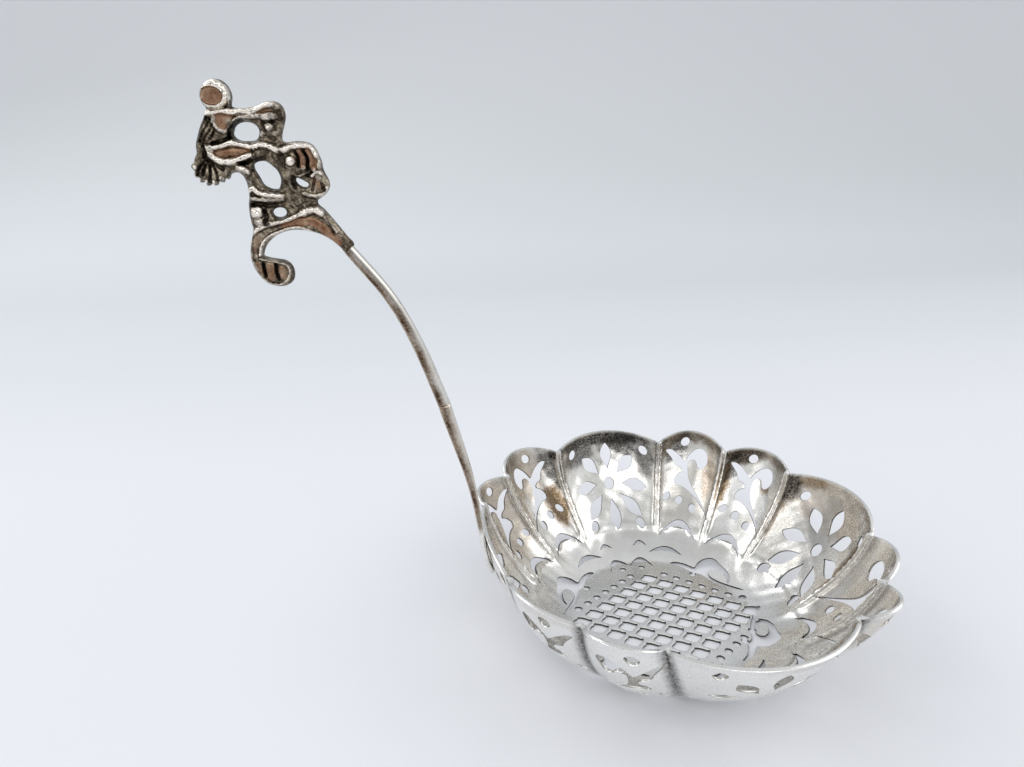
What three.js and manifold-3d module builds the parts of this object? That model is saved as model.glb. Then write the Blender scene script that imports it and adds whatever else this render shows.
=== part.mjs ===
// Sugar sifter spoon: a pierced, fluted silver bowl, a soldered stem and a cast openwork finial.
// Millimetres, +Z up. The handle leaves the bowl towards -X and the finial lies in the XZ plane.
import * as THREE from 'three';
import { mergeVertices } from 'three/addons/utils/BufferGeometryUtils.js';
import Module from 'manifold-3d';

const wasm = await Module();
wasm.setup();

const degree = Math.PI / 180;

// Bowl: section along a rib, from the floor's middle to the rim
const sheet = 0.8;
const flatRadius = 16;
const floorRadius = 24.6;
const floorRise = 3.6;
const shoulderRadius = 33.2;
const shoulderHeight = 11.7;
const rimRadius = 35;
const rimHeight = 20.7;

// Lobes: each quarter turn has a wide lobe and then two narrow ones. The bowl is raised by hand, so
// every lobe has its own swell and arch at the rim, and some ribs, which stand behind the lobes in the
// same order, lean: their feet and their tops lie off an even division, in degrees. The piercing of a
// wide lobe drifts from the lobe's middle, across and up the wall.
const wideSpan = 41.5 * degree;
const footSwell = 0.9;
const scallopWidth = 3.5;
const quarters = [
  { swells: [2.6, 3, 3], arches: [1.9, 1.9, 2.7], footLeans: [0, 0, 0], topLeans: [0, 0, 0] },
  { swells: [2.6, 4, 2.6], arches: [2.2, 1.7, 0.6], footLeans: [0, 0, 0], topLeans: [0, 3.5, 0] },
  { swells: [-0.8, 1.6, 3], arches: [1.6, 1, 1.6], footLeans: [0, 0, 3], topLeans: [0, 0, -5] },
  { swells: [3, 3, 1.8], arches: [0, 1.4, 1.6], footLeans: [0, 0, 0], topLeans: [5.4, 0, 0] },
];
const drifts = [[0.8, -2], [0.4, -0.9], [0, 0], [0, 0]];

// Floor lattice of rhombic cells, longest towards the handle, and the rows of small holes along its
// four sides. The inset runs from the floor's edge, along a row of cells, to the middle of the last.
const latticeCells = 7;
const latticeInset = 14.1;
const latticeBar = 0.95;
const latticePlace = [0.8, -1.2];
const fallTurn = -42.5 * degree;
const riseTurn = 30 * degree;
const rowHoles = 7;
const rowPitchShare = 0.78;
const rowGap = 3.15;
const rowHoleRadius = 0.78;

// Flower in each wide lobe
const flowerHeight = 9.6;
const flowerPetals = 8;
const petalStart = 3;
const petalEnd = 8.6;
const petalWidth = 2.7;
const petalLean = 1.2;
const eyeRadius = 1.25;
const cornerRadius = 1.05;
const upperCorner = [9.1, 17.8];
const lowerCorner = [5.6, 2];

// Scroll, holes and crescent in each narrow lobe: across the lobe, then up the wall
const buttonPlace = [-1.7, 17.9];
const buttonRadius = 1;
const seedPlaces = [[-4.3, 6.6], [-1.4, 5.5], [1.7, 4.3]];
const seedRadius = 0.85;
const crescentPlace = [-0.6, -0.8];
const crescentReach = 3.9;
const crescentDepth = 1.25;
const crescentRise = 2.5;
const scrollScale = 0.92;
const scrollPlace = [0.2, 0.4];
const scrollOutline = [
  [-6.3, 17.2], [-3.8, 15.9], [-1.2, 13.5], [0.1, 16.3], [2.4, 17.3], [3.9, 15.3], [2.4, 12.6],
  [1.2, 14], [-0.4, 13.1], [-0.1, 10.7], [1.5, 8.4], [6, 3.9], [1.6, 6.7], [-2.9, 8.5], [-1.7, 11.4],
  [-4.2, 13.9],
];

// Ornament in each corner of the floor, placed by its inset from the floor's edge and angle from X
const leafScale = 0.74;
const leafInset = 6.7;
const leafAngle = 32 * degree;
const leafTurn = -84 * degree;
const curlInset = 7.7;
const curlAngle = 80 * degree;
const arcInset = 4.7;
const arcAngle = 63 * degree;
const curlReach = 2.5;
const arcReach = 3.3;
const arcDepth = 1.1;

// Lower stem: a tongue on the handle-side lobe, then a round rod up to the solder joint. Its places
// are measured from the point where the tongue passes the rim.
const handleTurn = 180 * degree;
const solderGap = 0.3;
const tongueStart = 35.5;
const tongueHalfWidth = 2.3;
const tongueHalfDepth = 0.7;
const stemHalfWidth = 1.1;
const lowerBend = [-1.3, 11.1];
const jointPlace = [-5.3, 25.2];

// Upper stem: from the solder joint to the arch of the finial, with places measured from the joint
const upperBends = [[-3.5, 9.6], [-7.5, 17.6]];
const upperEnd = [-13.3, 25.3];
const finialGap = 0.45;
const upperHalfWidth = 1.25;
const upperHalfDepth = 0.85;

// Finial: depth of its plate, raised bars and arch, and the places of its forms, all measured from
// the end of the upper stem
const plateDepth = 2.7;
const barDepth = 3.6;
const archDepth = 3.1;
const plateBevel = 0.3;
const barThickness = 0.85;
const knobPlace = [-15.6, 20.3];
const knobRadius = 1.8;
const beadPlace = [-12, 5.1];
const beadRadius = 1.05;
const fanPlace = [-16.9, 12.4];
const fanLength = 3.3;
const fanRays = 5;
const fanStart = 210 * degree;
const fanStep = 24 * degree;
const rayWidth = 1.1;
const shellPlace = [-6.9, 12];
const shellLength = 2.9;
const shellFlutes = 4;
const shellStart = 108 * degree;
const shellStep = -33 * degree;
const fluteWidth = 1.5;
const hookFlutes = 3;
const hookFluteStep = 1.35;
const hookFlutePlace = [-11.6, -2.7];
const hookFluteDrop = 0.25;
const hookFluteTurn = 75 * degree;
const hookFluteLength = 3.4;

const plateOutline = [
  [-16.9, 18.7], [-17.8, 16.6], [-18.6, 14.7], [-18.5, 12.9], [-18.6, 10.9], [-17.2, 10.1], [-15.2, 10.7],
  [-13.8, 10.7], [-13.1, 8.7], [-12.9, 5.3], [-13, 2.6], [-10.2, 3.3], [-7, 4.5], [-4, 5.3],
  [-4, 7], [-2.6, 8.1], [-2.3, 9.4], [-2.9, 11.1], [-3.3, 12.9], [-4.4, 14.2], [-6.4, 14.4],
  [-8, 14.5], [-7.8, 15.7], [-7.3, 18], [-8.7, 19.4], [-11.3, 18.6], [-13.8, 18.8],
];
const eyeHole = [-12.2, 15.75, 1.65, 1.3, 0];
const windowTurn = 22 * degree;
const windowHole = [-10.2, 10.2, 1.6, 2.15, windowTurn];
const shellHole = [-5.8, 9.25, 1, 0.75, 0];
const footHole = [-9.1, 5.55, 1.15, 0.7, 0];
const topBar = [[-16.8, 18.2], [-13.8, 18.5], [-11.3, 18.3], [-9, 19.1], [-7.6, 18.6]];
const middleBar = [[-17.6, 13.5], [-14.2, 14.1], [-11, 14.1], [-8.1, 13.4], [-5.6, 14.1]];
const leafBar = [[-16.6, 12.7], [-14.8, 12.2], [-12.6, 12.7]];
const upperLedge = [[-13, 7.9], [-8.1, 7.7]];
const lowerLedge = [[-13.1, 6.9], [-7.9, 6.9]];
const archTop = [[-13.4, 2.3], [-10.8, 3.4], [-8.2, 4.4], [-4.4, 5.7], [-2.5, 4.2], [0.6, 0.5]];
const archUnder = [[-0.7, -0.5], [-2.5, 1.5], [-4.9, 2.9], [-8, 3.1], [-10.6, 2], [-12.2, 0.1]];
const hookInner = [[-12.2, -0.7], [-10.8, -1.6], [-8.9, -2]];
const hookOuter = [[-8.3, -3], [-9.1, -4.5], [-10.6, -4.9], [-12.2, -4.1], [-13.4, -2.3], [-13.7, 0.1]];

// Mesh detail
const wideSteps = 6;
const narrowSteps = 4;
const wallRings = 3;
const cutOver = 3.2;
const cutUnder = 0.9;
const smallSides = 6;
const tinySides = 5;
const petalSides = 6;
const crescentSteps = 3;
const rodSides = 8;
const rodSteps = 13;
const normalStep = 0.08;
const drumSides = 12;
const holeSides = 9;
const beadSides = 6;
const beadRings = 4;
const outlineShare = 1.25;
const rayOverlapShare = 1.15;

// Points and solids
const latticeMiddle = (latticeCells - 1) / 2;
const latticePitch = (floorRadius - latticeInset) / latticeMiddle;
const rowPitch = latticePitch * rowPitchShare;
const ribCurve = new THREE.QuadraticBezierCurve(
  new THREE.Vector2(floorRadius, floorRise),
  new THREE.Vector2(shoulderRadius, shoulderHeight),
  new THREE.Vector2(rimRadius, rimHeight),
);
const wallLength = ribCurve.getLength();
const rimSlope = 2 * (rimHeight - shoulderHeight);

// Twelve ribs and the lobe in front of each. In a narrow lobe the ornament's right side faces the next
// narrow lobe or the wide lobe that lies on the X axis.
const ribs = quarters.flatMap((quarter, index) => {
  const middle = index * Math.PI / 2;
  return [wideSpan / 2, Math.PI / 4, Math.PI / 2 - wideSpan / 2].map((even, place) => ({
    foot: middle + even + quarter.footLeans[place] * degree,
    top: middle + even + quarter.topLeans[place] * degree,
  }));
});
const lobes = quarters.flatMap((quarter, index) => [0, 1, 2].map((place) => {
  const to = ribs[3 * index + place];
  const behind = ribs.at(3 * index + place - 1);
  const whole = index + place === 0 ? 2 * Math.PI : 0;
  const from = { foot: behind.foot - whole, top: behind.top - whole };
  const hand = place > 0 && Math.sin(to.foot + from.foot) < 0 ? -1 : 1;
  const wide = place === 0;
  const drift = wide ? drifts[index] : [0, 0];
  return { from, to, hand, wide, drift, swell: quarter.swells[place], arch: quarter.arches[place] };
}));

function turnFrom(centre, turn) {
  return Math.atan2(Math.sin(turn - centre), Math.cos(turn - centre));
}

// Turns about Z of a lobe's middle and of half its span, at a distance walked from the bowl's middle
function spanAt(lobe, walk) {
  const climb = THREE.MathUtils.clamp((walk - floorRadius) / wallLength, 0, 1);
  const start = THREE.MathUtils.lerp(lobe.from.foot, lobe.from.top, climb);
  const end = THREE.MathUtils.lerp(lobe.to.foot, lobe.to.top, climb);
  return { centre: (start + end) / 2, half: (end - start) / 2 };
}

// The lobe at a place on the bowl, and the place's share of the way from its middle to its rib
function lobeAt(walk, turn) {
  return lobes.reduce((best, lobe) => {
    const { centre, half } = spanAt(lobe, walk);
    const across = turnFrom(centre, turn) / half;
    return Math.abs(across) < Math.abs(best.across) ? { lobe, across } : best;
  }, { across: Infinity });
}

// The bowl's inner surface: distance walked from the middle over the floor and up the wall, and the
// turn about Z. Each lobe swells out and its rim rises by the height of an arch over its width.
function bowlPoint(walk, turn) {
  const { lobe, across } = lobeAt(walk, turn);
  const crown = 1 - across * across;
  let radius;
  let height;
  if (walk < floorRadius) {
    const settle = THREE.MathUtils.smoothstep(walk, floorRadius - scallopWidth, floorRadius);
    const rise = Math.max(0, (walk - flatRadius) / (floorRadius - flatRadius));
    radius = walk + footSwell * crown * settle;
    height = floorRise * rise * rise;
  } else {
    const climb = (walk - floorRadius) / wallLength;
    const spot = ribCurve.getPoint(climb * (1 + lobe.arch * crown / rimSlope));
    radius = spot.x + crown * THREE.MathUtils.lerp(footSwell, lobe.swell, climb);
    height = spot.y;
  }
  return new THREE.Vector3(radius * Math.cos(turn), radius * Math.sin(turn), height);
}

// Outward normal of the bowl, from small steps up the wall and around it
function bowlNormal(walk, turn) {
  const step = normalStep;
  if (walk <= flatRadius) return new THREE.Vector3(0, 0, -1);
  const up = bowlPoint(walk + step, turn).sub(bowlPoint(walk - step, turn));
  const round = bowlPoint(walk, turn + step / walk).sub(bowlPoint(walk, turn - step / walk));
  return round.cross(up).normalize();
}

function bowlOffset(walk, turn, out) {
  return bowlPoint(walk, turn).addScaledVector(bowlNormal(walk, turn), out);
}

function geometryOf(points, faces) {
  const geometry = new THREE.BufferGeometry();
  geometry.setAttribute('position', new THREE.Float32BufferAttribute(points.flatMap((p) => p.toArray()), 3));
  geometry.setIndex(faces.flat());
  return geometry;
}

function solidOf(geometry) {
  const bare = geometry.clone();
  bare.deleteAttribute('normal');
  bare.deleteAttribute('uv');
  const merged = mergeVertices(bare);
  return new wasm.Manifold(new wasm.Mesh({
    numProp: 3,
    vertProperties: new Float32Array(merged.attributes.position.array),
    triVerts: new Uint32Array(merged.index.array),
  }));
}

function meshOf(name, solid, material) {
  const made = solid.getMesh();
  const geometry = new THREE.BufferGeometry();
  geometry.setAttribute('position', new THREE.BufferAttribute(made.vertProperties, made.numProp));
  geometry.setIndex(new THREE.BufferAttribute(made.triVerts, 1));
  const mesh = new THREE.Mesh(geometry, material);
  mesh.name = name;
  return mesh;
}

// Closed body from rings of points: each ring has the same number of points, the ends are capped
function bodyOfRings(rings) {
  const sides = rings[0].length;
  const points = rings.flat();
  const faces = [];
  for (let ring = 0; ring + 1 < rings.length; ring++) {
    for (let side = 0; side < sides; side++) {
      const here = ring * sides + side;
      const next = ring * sides + (side + 1) % sides;
      faces.push([here, next, next + sides], [here, next + sides, here + sides]);
    }
  }
  const last = (rings.length - 1) * sides;
  for (let side = 1; side + 1 < sides; side++) {
    faces.push([0, side + 1, side], [last, last + side, last + side + 1]);
  }
  return geometryOf(points, faces);
}

// Bowl sheet: inner and outer surface over the same rings, joined along the rim. The flat floor has
// half as many points as the wall, and the ring outside it turns from one count to the other.
function bowlSheet() {
  const turnsAt = (walk) => lobes.flatMap((lobe) => {
    const steps = lobe.wide ? wideSteps : narrowSteps;
    const { centre, half } = spanAt(lobe, walk);
    return Array.from({ length: steps }, (unused, step) => centre + half * (2 * step / steps - 1));
  });
  const floorTurns = turnsAt(flatRadius).filter((turn, index) => index % 2 === 0);
  const walks = [floorRadius - scallopWidth];
  for (let ring = 0; ring <= wallRings; ring++) walks.push(floorRadius + wallLength * ring / wallRings);
  const skin = (out) => [
    bowlOffset(0, 0, out),
    ...floorTurns.map((turn) => bowlOffset(flatRadius, turn, out)),
    ...walks.flatMap((walk) => turnsAt(walk).map((turn) => bowlOffset(walk, turn, out))),
  ];
  const points = [...skin(0), ...skin(sheet)];
  const outer = points.length / 2;
  const around = 2 * floorTurns.length;
  const half = floorTurns.length;
  const faces = [];
  const both = (a, b, c) => faces.push([a, b, c], [outer + a, outer + c, outer + b]);
  for (let step = 0; step < half; step++) {
    const here = 1 + step;
    const next = 1 + (step + 1) % half;
    const out = 1 + half + 2 * step;
    const far = 1 + half + (2 * step + 2) % around;
    both(0, here, next);
    both(here, out, out + 1);
    both(here, out + 1, next);
    both(next, out + 1, far);
  }
  for (let step = 0; step < around; step++) {
    const next = (step + 1) % around;
    for (let ring = 0; ring + 1 < walks.length; ring++) {
      const a = 1 + half + ring * around + step;
      const b = 1 + half + ring * around + next;
      both(a, a + around, b + around);
      both(a, b + around, b);
    }
    const rim = 1 + half + (walks.length - 1) * around;
    faces.push([rim + step, outer + rim + step, outer + rim + next]);
    faces.push([rim + step, outer + rim + next, rim + next]);
  }
  return solidOf(geometryOf(points, faces));
}

// Outlines, each in its own flat frame
function ring(radius, sides, start = 0) {
  return Array.from({ length: sides }, (unused, side) => {
    const angle = start + 2 * Math.PI * side / sides;
    return [radius * Math.cos(angle), radius * Math.sin(angle)];
  });
}

// A petal is a pointed oval: its half width follows half a sine wave that is drawn towards its end
function petal() {
  const half = petalSides / 2;
  return Array.from({ length: petalSides }, (unused, side) => {
    const along = side <= half ? side / half : 2 - side / half;
    const width = petalWidth / 2 * Math.sin(Math.PI * along ** petalLean) * (side <= half ? -1 : 1);
    return [petalStart + (petalEnd - petalStart) * along, width];
  });
}

// A crescent lies between two arcs of the same reach, the upper one higher by the depth
function crescent(reach, rise, depth) {
  const upper = [];
  const lower = [];
  for (let step = 0; step <= crescentSteps; step++) {
    const along = 2 * step / crescentSteps - 1;
    const height = 1 - along * along;
    upper.push([-reach * along, rise * height]);
    if (step > 0 && step < crescentSteps) lower.push([reach * along, (rise - depth) * height]);
  }
  return [...upper, ...lower];
}

function scroll(scale) {
  return scrollOutline.map(([across, up]) => [across * scale, up * scale]);
}

function moved(outline, turn, [right, up]) {
  return outline.map(([x, y]) => [
    right + x * Math.cos(turn) - y * Math.sin(turn),
    up + x * Math.sin(turn) + y * Math.cos(turn),
  ]);
}

// From a lobe's frame, across and up the wall, to walk and turn on the bowl
function onLobe(lobe, outline) {
  return outline.map(([across, up]) => {
    const walk = floorRadius + up;
    const { centre } = spanAt(lobe, walk);
    const around = bowlPoint(walk, centre);
    return [walk, centre - lobe.hand * across / Math.hypot(around.x, around.y)];
  });
}

function onFloor(outline) {
  return outline.map(([x, y]) => [Math.hypot(x, y), Math.atan2(y, x)]);
}

// A cutter follows the sheet: its outline is pushed out on both sides along the bowl's normals
function cutter(outline) {
  const flat = outline.map(([walk, turn]) => {
    return new THREE.Vector2(walk * Math.cos(turn), walk * Math.sin(turn));
  });
  const path = THREE.ShapeUtils.isClockWise(flat) ? outline.toReversed() : outline;
  if (path !== outline) flat.reverse();
  const inner = path.map(([walk, turn]) => bowlOffset(walk, turn, -cutUnder));
  const outer = path.map(([walk, turn]) => bowlOffset(walk, turn, sheet + cutOver));
  const count = path.length;
  const faces = [];
  for (const [a, b, c] of THREE.ShapeUtils.triangulateShape(flat, [])) {
    faces.push([a, b, c], [count + a, count + c, count + b]);
  }
  for (let here = 0; here < count; here++) {
    const next = (here + 1) % count;
    faces.push([here, count + here, count + next], [here, count + next, next]);
  }
  return solidOf(geometryOf([...inner, ...outer], faces));
}

function latticeOutlines() {
  const outlines = [];
  const spot = (alongFall, alongRise) => [
    latticePlace[0] + alongFall * Math.cos(fallTurn) + alongRise * Math.cos(riseTurn),
    latticePlace[1] + alongFall * Math.sin(fallTurn) + alongRise * Math.sin(riseTurn),
  ];
  const half = (latticePitch - latticeBar / Math.sin(riseTurn - fallTurn)) / 2;
  for (let row = 0; row < latticeCells; row++) {
    for (let column = 0; column < latticeCells; column++) {
      const fall = (column - latticeMiddle) * latticePitch;
      const rise = (row - latticeMiddle) * latticePitch;
      outlines.push([[-half, -half], [half, -half], [half, half], [-half, half]]
        .map(([right, back]) => spot(fall + right, rise + back)));
    }
  }
  for (const side of [-1, 1]) {
    const edge = side * latticeMiddle * latticePitch;
    const out = side * rowGap;
    const aside = [-out * Math.sin(fallTurn), out * Math.cos(fallTurn)];
    const across = [out * Math.sin(riseTurn), -out * Math.cos(riseTurn)];
    for (let hole = 0; hole < rowHoles; hole++) {
      const along = (hole - (rowHoles - 1) / 2) * rowPitch;
      outlines.push(moved(moved(ring(rowHoleRadius, tinySides), 0, spot(along, edge)), 0, aside));
      outlines.push(moved(moved(ring(rowHoleRadius, tinySides), 0, spot(edge, along)), 0, across));
    }
  }
  return outlines.map(onFloor);
}

// One corner of the floor, mirrored into the other three
function cornerOutlines() {
  const spot = (inset, angle) => {
    const distance = floorRadius - inset;
    return [distance * Math.cos(angle), distance * Math.sin(angle)];
  };
  const quarterTurn = Math.PI / 2;
  const leafMiddle = scrollOutline.reduce((sum, [x, y]) => [sum[0] + x, sum[1] + y], [0, 0])
    .map((sum) => -sum * leafScale / scrollOutline.length);
  const leaf = moved(scroll(leafScale), 0, leafMiddle);
  const drawn = [
    moved(leaf, leafAngle + leafTurn, spot(leafInset, leafAngle)),
    moved(crescent(curlReach, curlReach, arcDepth), curlAngle - quarterTurn, spot(curlInset, curlAngle)),
    moved(crescent(arcReach, arcReach / 2, arcDepth), arcAngle - quarterTurn, spot(arcInset, arcAngle)),
  ];
  const corners = [[1, 1], [-1, 1], [-1, -1], [1, -1]];
  return corners
    .flatMap(([right, back]) => drawn.map((outline) => outline.map(([x, y]) => [x * right, y * back])))
    .map(onFloor);
}

function lobeOutlines(lobe) {
  const drawn = [];
  if (lobe.wide) {
    drawn.push(moved(ring(eyeRadius, smallSides), 0, [0, flowerHeight]));
    for (let leaf = 0; leaf < flowerPetals; leaf++) {
      drawn.push(moved(petal(), 2 * Math.PI * leaf / flowerPetals, [0, flowerHeight]));
    }
    for (const [across, up] of [upperCorner, lowerCorner]) {
      for (const side of [-1, 1]) {
        drawn.push(moved(ring(cornerRadius, smallSides), 0, [side * across, up]));
      }
    }
  } else {
    drawn.push(moved(ring(buttonRadius, smallSides), 0, buttonPlace));
    drawn.push(moved(scroll(scrollScale), 0, scrollPlace));
    for (const place of seedPlaces) drawn.push(moved(ring(seedRadius, tinySides), 0, place));
    drawn.push(moved(crescent(crescentReach, crescentRise, crescentDepth), 0, crescentPlace));
  }
  return drawn.map((outline) => onLobe(lobe, moved(outline, 0, lobe.drift)));
}

function piercedBowl() {
  let solid = bowlSheet();
  const outlines = [...latticeOutlines(), ...cornerOutlines(), ...lobes.flatMap(lobeOutlines)];
  for (const outline of outlines) solid = solid.subtract(cutter(outline));
  return solid;
}

// Rod along a curve in the XZ plane: half width across Y, half depth across the curve
function rod(path, halfWidthAt, halfDepthAt) {
  const rings = [];
  for (let step = 0; step <= rodSteps; step++) {
    const along = step / rodSteps;
    const spot = path.getPointAt(along);
    const ahead = path.getTangentAt(along);
    const out = new THREE.Vector3(-ahead.y, 0, ahead.x);
    rings.push(ring(1, rodSides).map(([wide, deep]) => new THREE.Vector3(spot.x, 0, spot.y)
      .addScaledVector(out, deep * halfDepthAt(along))
      .add(new THREE.Vector3(0, wide * halfWidthAt(along), 0))));
  }
  return solidOf(bodyOfRings(rings));
}

// Chain of places in the XZ plane: where the tongue passes the rim, the solder joint, the finial
const stemReach = sheet + solderGap + tongueHalfDepth;
const rimWalk = floorRadius + wallLength;

function tonguePlace(walk) {
  const spot = bowlOffset(walk, handleTurn, stemReach);
  return new THREE.Vector2(spot.x, spot.z);
}

function placedFrom(origin, [x, z]) {
  return new THREE.Vector2(origin.x + x, origin.y + z);
}

const joint = placedFrom(tonguePlace(rimWalk), jointPlace);
const stemEnd = placedFrom(joint, upperEnd);

function lowerStem() {
  const onWall = [0, 1 / 3, 2 / 3, 1].map((share) => {
    return tonguePlace(THREE.MathUtils.lerp(tongueStart, rimWalk, share));
  });
  const path = new THREE.SplineCurve([...onWall, placedFrom(onWall.at(-1), lowerBend), joint]);
  const tongueShare = (rimWalk - tongueStart) / path.getLength();
  const halfWidth = (along) => (along < tongueShare
    ? THREE.MathUtils.lerp(stemHalfWidth, tongueHalfWidth, Math.sin(Math.PI * along / tongueShare))
    : stemHalfWidth);
  const halfDepth = (along) => THREE.MathUtils.lerp(tongueHalfDepth, stemHalfWidth,
    THREE.MathUtils.smoothstep(along, tongueShare, 1));
  return rod(path, halfWidth, halfDepth);
}

function upperStem() {
  const bends = upperBends.map((bend) => placedFrom(joint, bend));
  const away = bends[0].clone().sub(joint).normalize().multiplyScalar(solderGap);
  const back = bends.at(-1).clone().sub(stemEnd).normalize().multiplyScalar(finialGap);
  const path = new THREE.SplineCurve([away.add(joint), ...bends, back.add(stemEnd)]);
  const halfWidth = (along) => THREE.MathUtils.lerp(stemHalfWidth, upperHalfWidth, along);
  return rod(path, halfWidth, (along) => THREE.MathUtils.lerp(stemHalfWidth, upperHalfDepth, along));
}

// A flat outline in the XZ plane made into a plate of the given depth about Y = 0
function plate(shape, depth, bevel = plateBevel) {
  const geometry = new THREE.ExtrudeGeometry(shape, {
    depth: depth - 2 * bevel,
    bevelThickness: bevel,
    bevelSize: bevel,
    bevelOffset: -bevel,
    bevelSegments: 1,
  });
  geometry.translate(0, 0, bevel - depth / 2);
  geometry.rotateX(Math.PI / 2);
  return geometry;
}

// A round curve through the points, drawn with the given share of points
function roundOutline(points, closed = true) {
  const spots = points.map(([x, z]) => new THREE.Vector3(x, z, 0));
  const path = new THREE.CatmullRomCurve3(spots, closed, 'centripetal');
  const steps = Math.round(points.length * outlineShare);
  return path.getSpacedPoints(steps).map((spot) => new THREE.Vector2(spot.x, spot.y));
}

function plateSolid() {
  const shape = new THREE.Shape(roundOutline(plateOutline).slice(0, -1));
  for (const [x, z, wide, high, turn] of [eyeHole, windowHole, shellHole, footHole]) {
    const hole = new THREE.Path();
    hole.absellipse(x, z, wide, high, 0, 2 * Math.PI, true, turn);
    shape.holes.push(new THREE.Path(hole.getSpacedPoints(holeSides).slice(0, -1)));
  }
  return solidOf(plate(shape, plateDepth));
}

// A raised bar: a band of even thickness along a line of points
function bar(points, thickness = barThickness) {
  const line = roundOutline(points, false);
  const side = (sign) => line.map((spot, index) => {
    const before = line[Math.max(index - 1, 0)];
    const after = line[Math.min(index + 1, line.length - 1)];
    const along = after.clone().sub(before).normalize();
    const aside = new THREE.Vector2(-along.y, along.x).multiplyScalar(sign * thickness / 2);
    return aside.add(spot);
  });
  return solidOf(plate(new THREE.Shape([...side(-1), ...side(1).reverse()]), barDepth));
}

// An oval bead: a sphere stretched along a direction in the XZ plane and as deep as a bar
function bead([x, z], length, width, turn = 0) {
  const geometry = new THREE.SphereGeometry(1, beadSides, beadRings);
  geometry.scale(length / 2, barDepth / 2, width / 2);
  geometry.rotateY(-turn);
  geometry.translate(x, 0, z);
  return solidOf(geometry);
}

function rays([x, z], length, width, count, start, step) {
  return Array.from({ length: count }, (unused, ray) => {
    const turn = start + step * ray;
    const middle = [x + length / 2 * Math.cos(turn), z + length / 2 * Math.sin(turn)];
    return bead(middle, length * rayOverlapShare, width, turn);
  });
}

function finialSolid() {
  const drum = new THREE.CylinderGeometry(knobRadius, knobRadius, barDepth, drumSides);
  drum.translate(knobPlace[0], 0, knobPlace[1]);
  const archShape = new THREE.Shape([...roundOutline(archTop, false), ...roundOutline(archUnder, false)]);
  const hookShape = new THREE.Shape([
    new THREE.Vector2(...archTop[0]), new THREE.Vector2(...archUnder.at(-1)),
    ...roundOutline([...hookInner, ...hookOuter], false),
  ]);
  const forms = [
    solidOf(drum),
    solidOf(plate(archShape, archDepth)),
    solidOf(plate(hookShape, archDepth)),
    ...[topBar, middleBar, leafBar, upperLedge, lowerLedge].map((points) => bar(points)),
    bead(beadPlace, 2 * beadRadius, 2 * beadRadius),
    ...rays(fanPlace, fanLength, rayWidth, fanRays, fanStart, fanStep),
    ...rays(shellPlace, shellLength, fluteWidth, shellFlutes, shellStart, shellStep),
    ...Array.from({ length: hookFlutes }, (unused, flute) => bead(
      [hookFlutePlace[0] + flute * hookFluteStep, hookFlutePlace[1] - flute * hookFluteDrop],
      hookFluteLength, hookFluteStep, hookFluteTurn,
    )),
  ];
  return forms.reduce((whole, form) => whole.add(form), plateSolid()).translate(stemEnd.x, 0, stemEnd.y);
}

// The spoon
const silver = new THREE.MeshStandardMaterial({ color: 0xc9c7c2, roughness: 0.25, metalness: 1 });
const stemSilver = new THREE.MeshStandardMaterial({ color: 0xc4bdb3, roughness: 0.22, metalness: 1 });
const castSilver = new THREE.MeshStandardMaterial({ color: 0xa9a098, roughness: 0.35, metalness: 1 });

const spoon = new THREE.Group();
spoon.name = 'sugar_sifter_spoon';
spoon.add(meshOf('bowl', piercedBowl(), silver));
spoon.add(meshOf('lower_stem', lowerStem(), stemSilver));
spoon.add(meshOf('upper_stem', upperStem(), stemSilver));
spoon.add(meshOf('finial', finialSolid(), castSilver));

// The frame's origin is the middle of the base of the box round the whole spoon
const box = new THREE.Box3().setFromObject(spoon);
spoon.position.set(-(box.min.x + box.max.x) / 2, -(box.min.y + box.max.y) / 2, -box.min.z);

export default spoon;
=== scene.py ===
import math

import bpy
import numpy as np
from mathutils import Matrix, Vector
from mathutils.geometry import delaunay_2d_cdt


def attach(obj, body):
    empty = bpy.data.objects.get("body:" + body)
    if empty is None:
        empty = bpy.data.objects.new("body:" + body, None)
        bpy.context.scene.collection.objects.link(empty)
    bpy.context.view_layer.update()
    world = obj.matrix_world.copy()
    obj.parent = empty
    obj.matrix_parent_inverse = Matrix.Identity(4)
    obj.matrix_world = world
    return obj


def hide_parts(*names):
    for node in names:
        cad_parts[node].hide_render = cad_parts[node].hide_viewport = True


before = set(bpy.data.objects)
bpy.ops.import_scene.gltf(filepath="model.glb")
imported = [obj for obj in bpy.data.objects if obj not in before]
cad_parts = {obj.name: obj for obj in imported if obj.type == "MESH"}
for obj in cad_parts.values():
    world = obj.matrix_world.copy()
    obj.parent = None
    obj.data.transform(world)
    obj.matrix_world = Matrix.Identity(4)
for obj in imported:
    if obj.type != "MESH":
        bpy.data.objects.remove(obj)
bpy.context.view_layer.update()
print("frame loaded")

# Shapes are worked out in millimetres about the middle of the bowl's inner floor.
place = {"shift": (18.0742, 0.019, 0.8)}


def toFrame(points):
    # adds the bowl's place in the part's frame and turns millimetres to metres
    return (points + np.array(place["shift"])) / 1000


def between(start, end, share):
    # a straight mix: start plus the share of the way to the end
    return start + (end - start) * share


def smoothstep(low, high, value):
    # 0 below low, 1 above high, 3s^2 - 2s^3 between
    share = np.clip((value - low) / (high - low), 0.0, 1.0)
    return share * share * (3 - 2 * share)


def bump(distance, width):
    # 1 on the line, falling to 0 at the width as the square of 1 - (d/w)^2
    share = np.clip(1 - (distance / width) ** 2, 0.0, 1.0)
    return share * share


def unit(vectors):
    # each vector over its own length
    return vectors / np.maximum(np.linalg.norm(vectors, axis=1, keepdims=True), 1e-9)


def lineLength(line):
    # sum of the lengths of the segments
    return float(np.linalg.norm(np.diff(line, axis=0), axis=1).sum())


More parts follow.
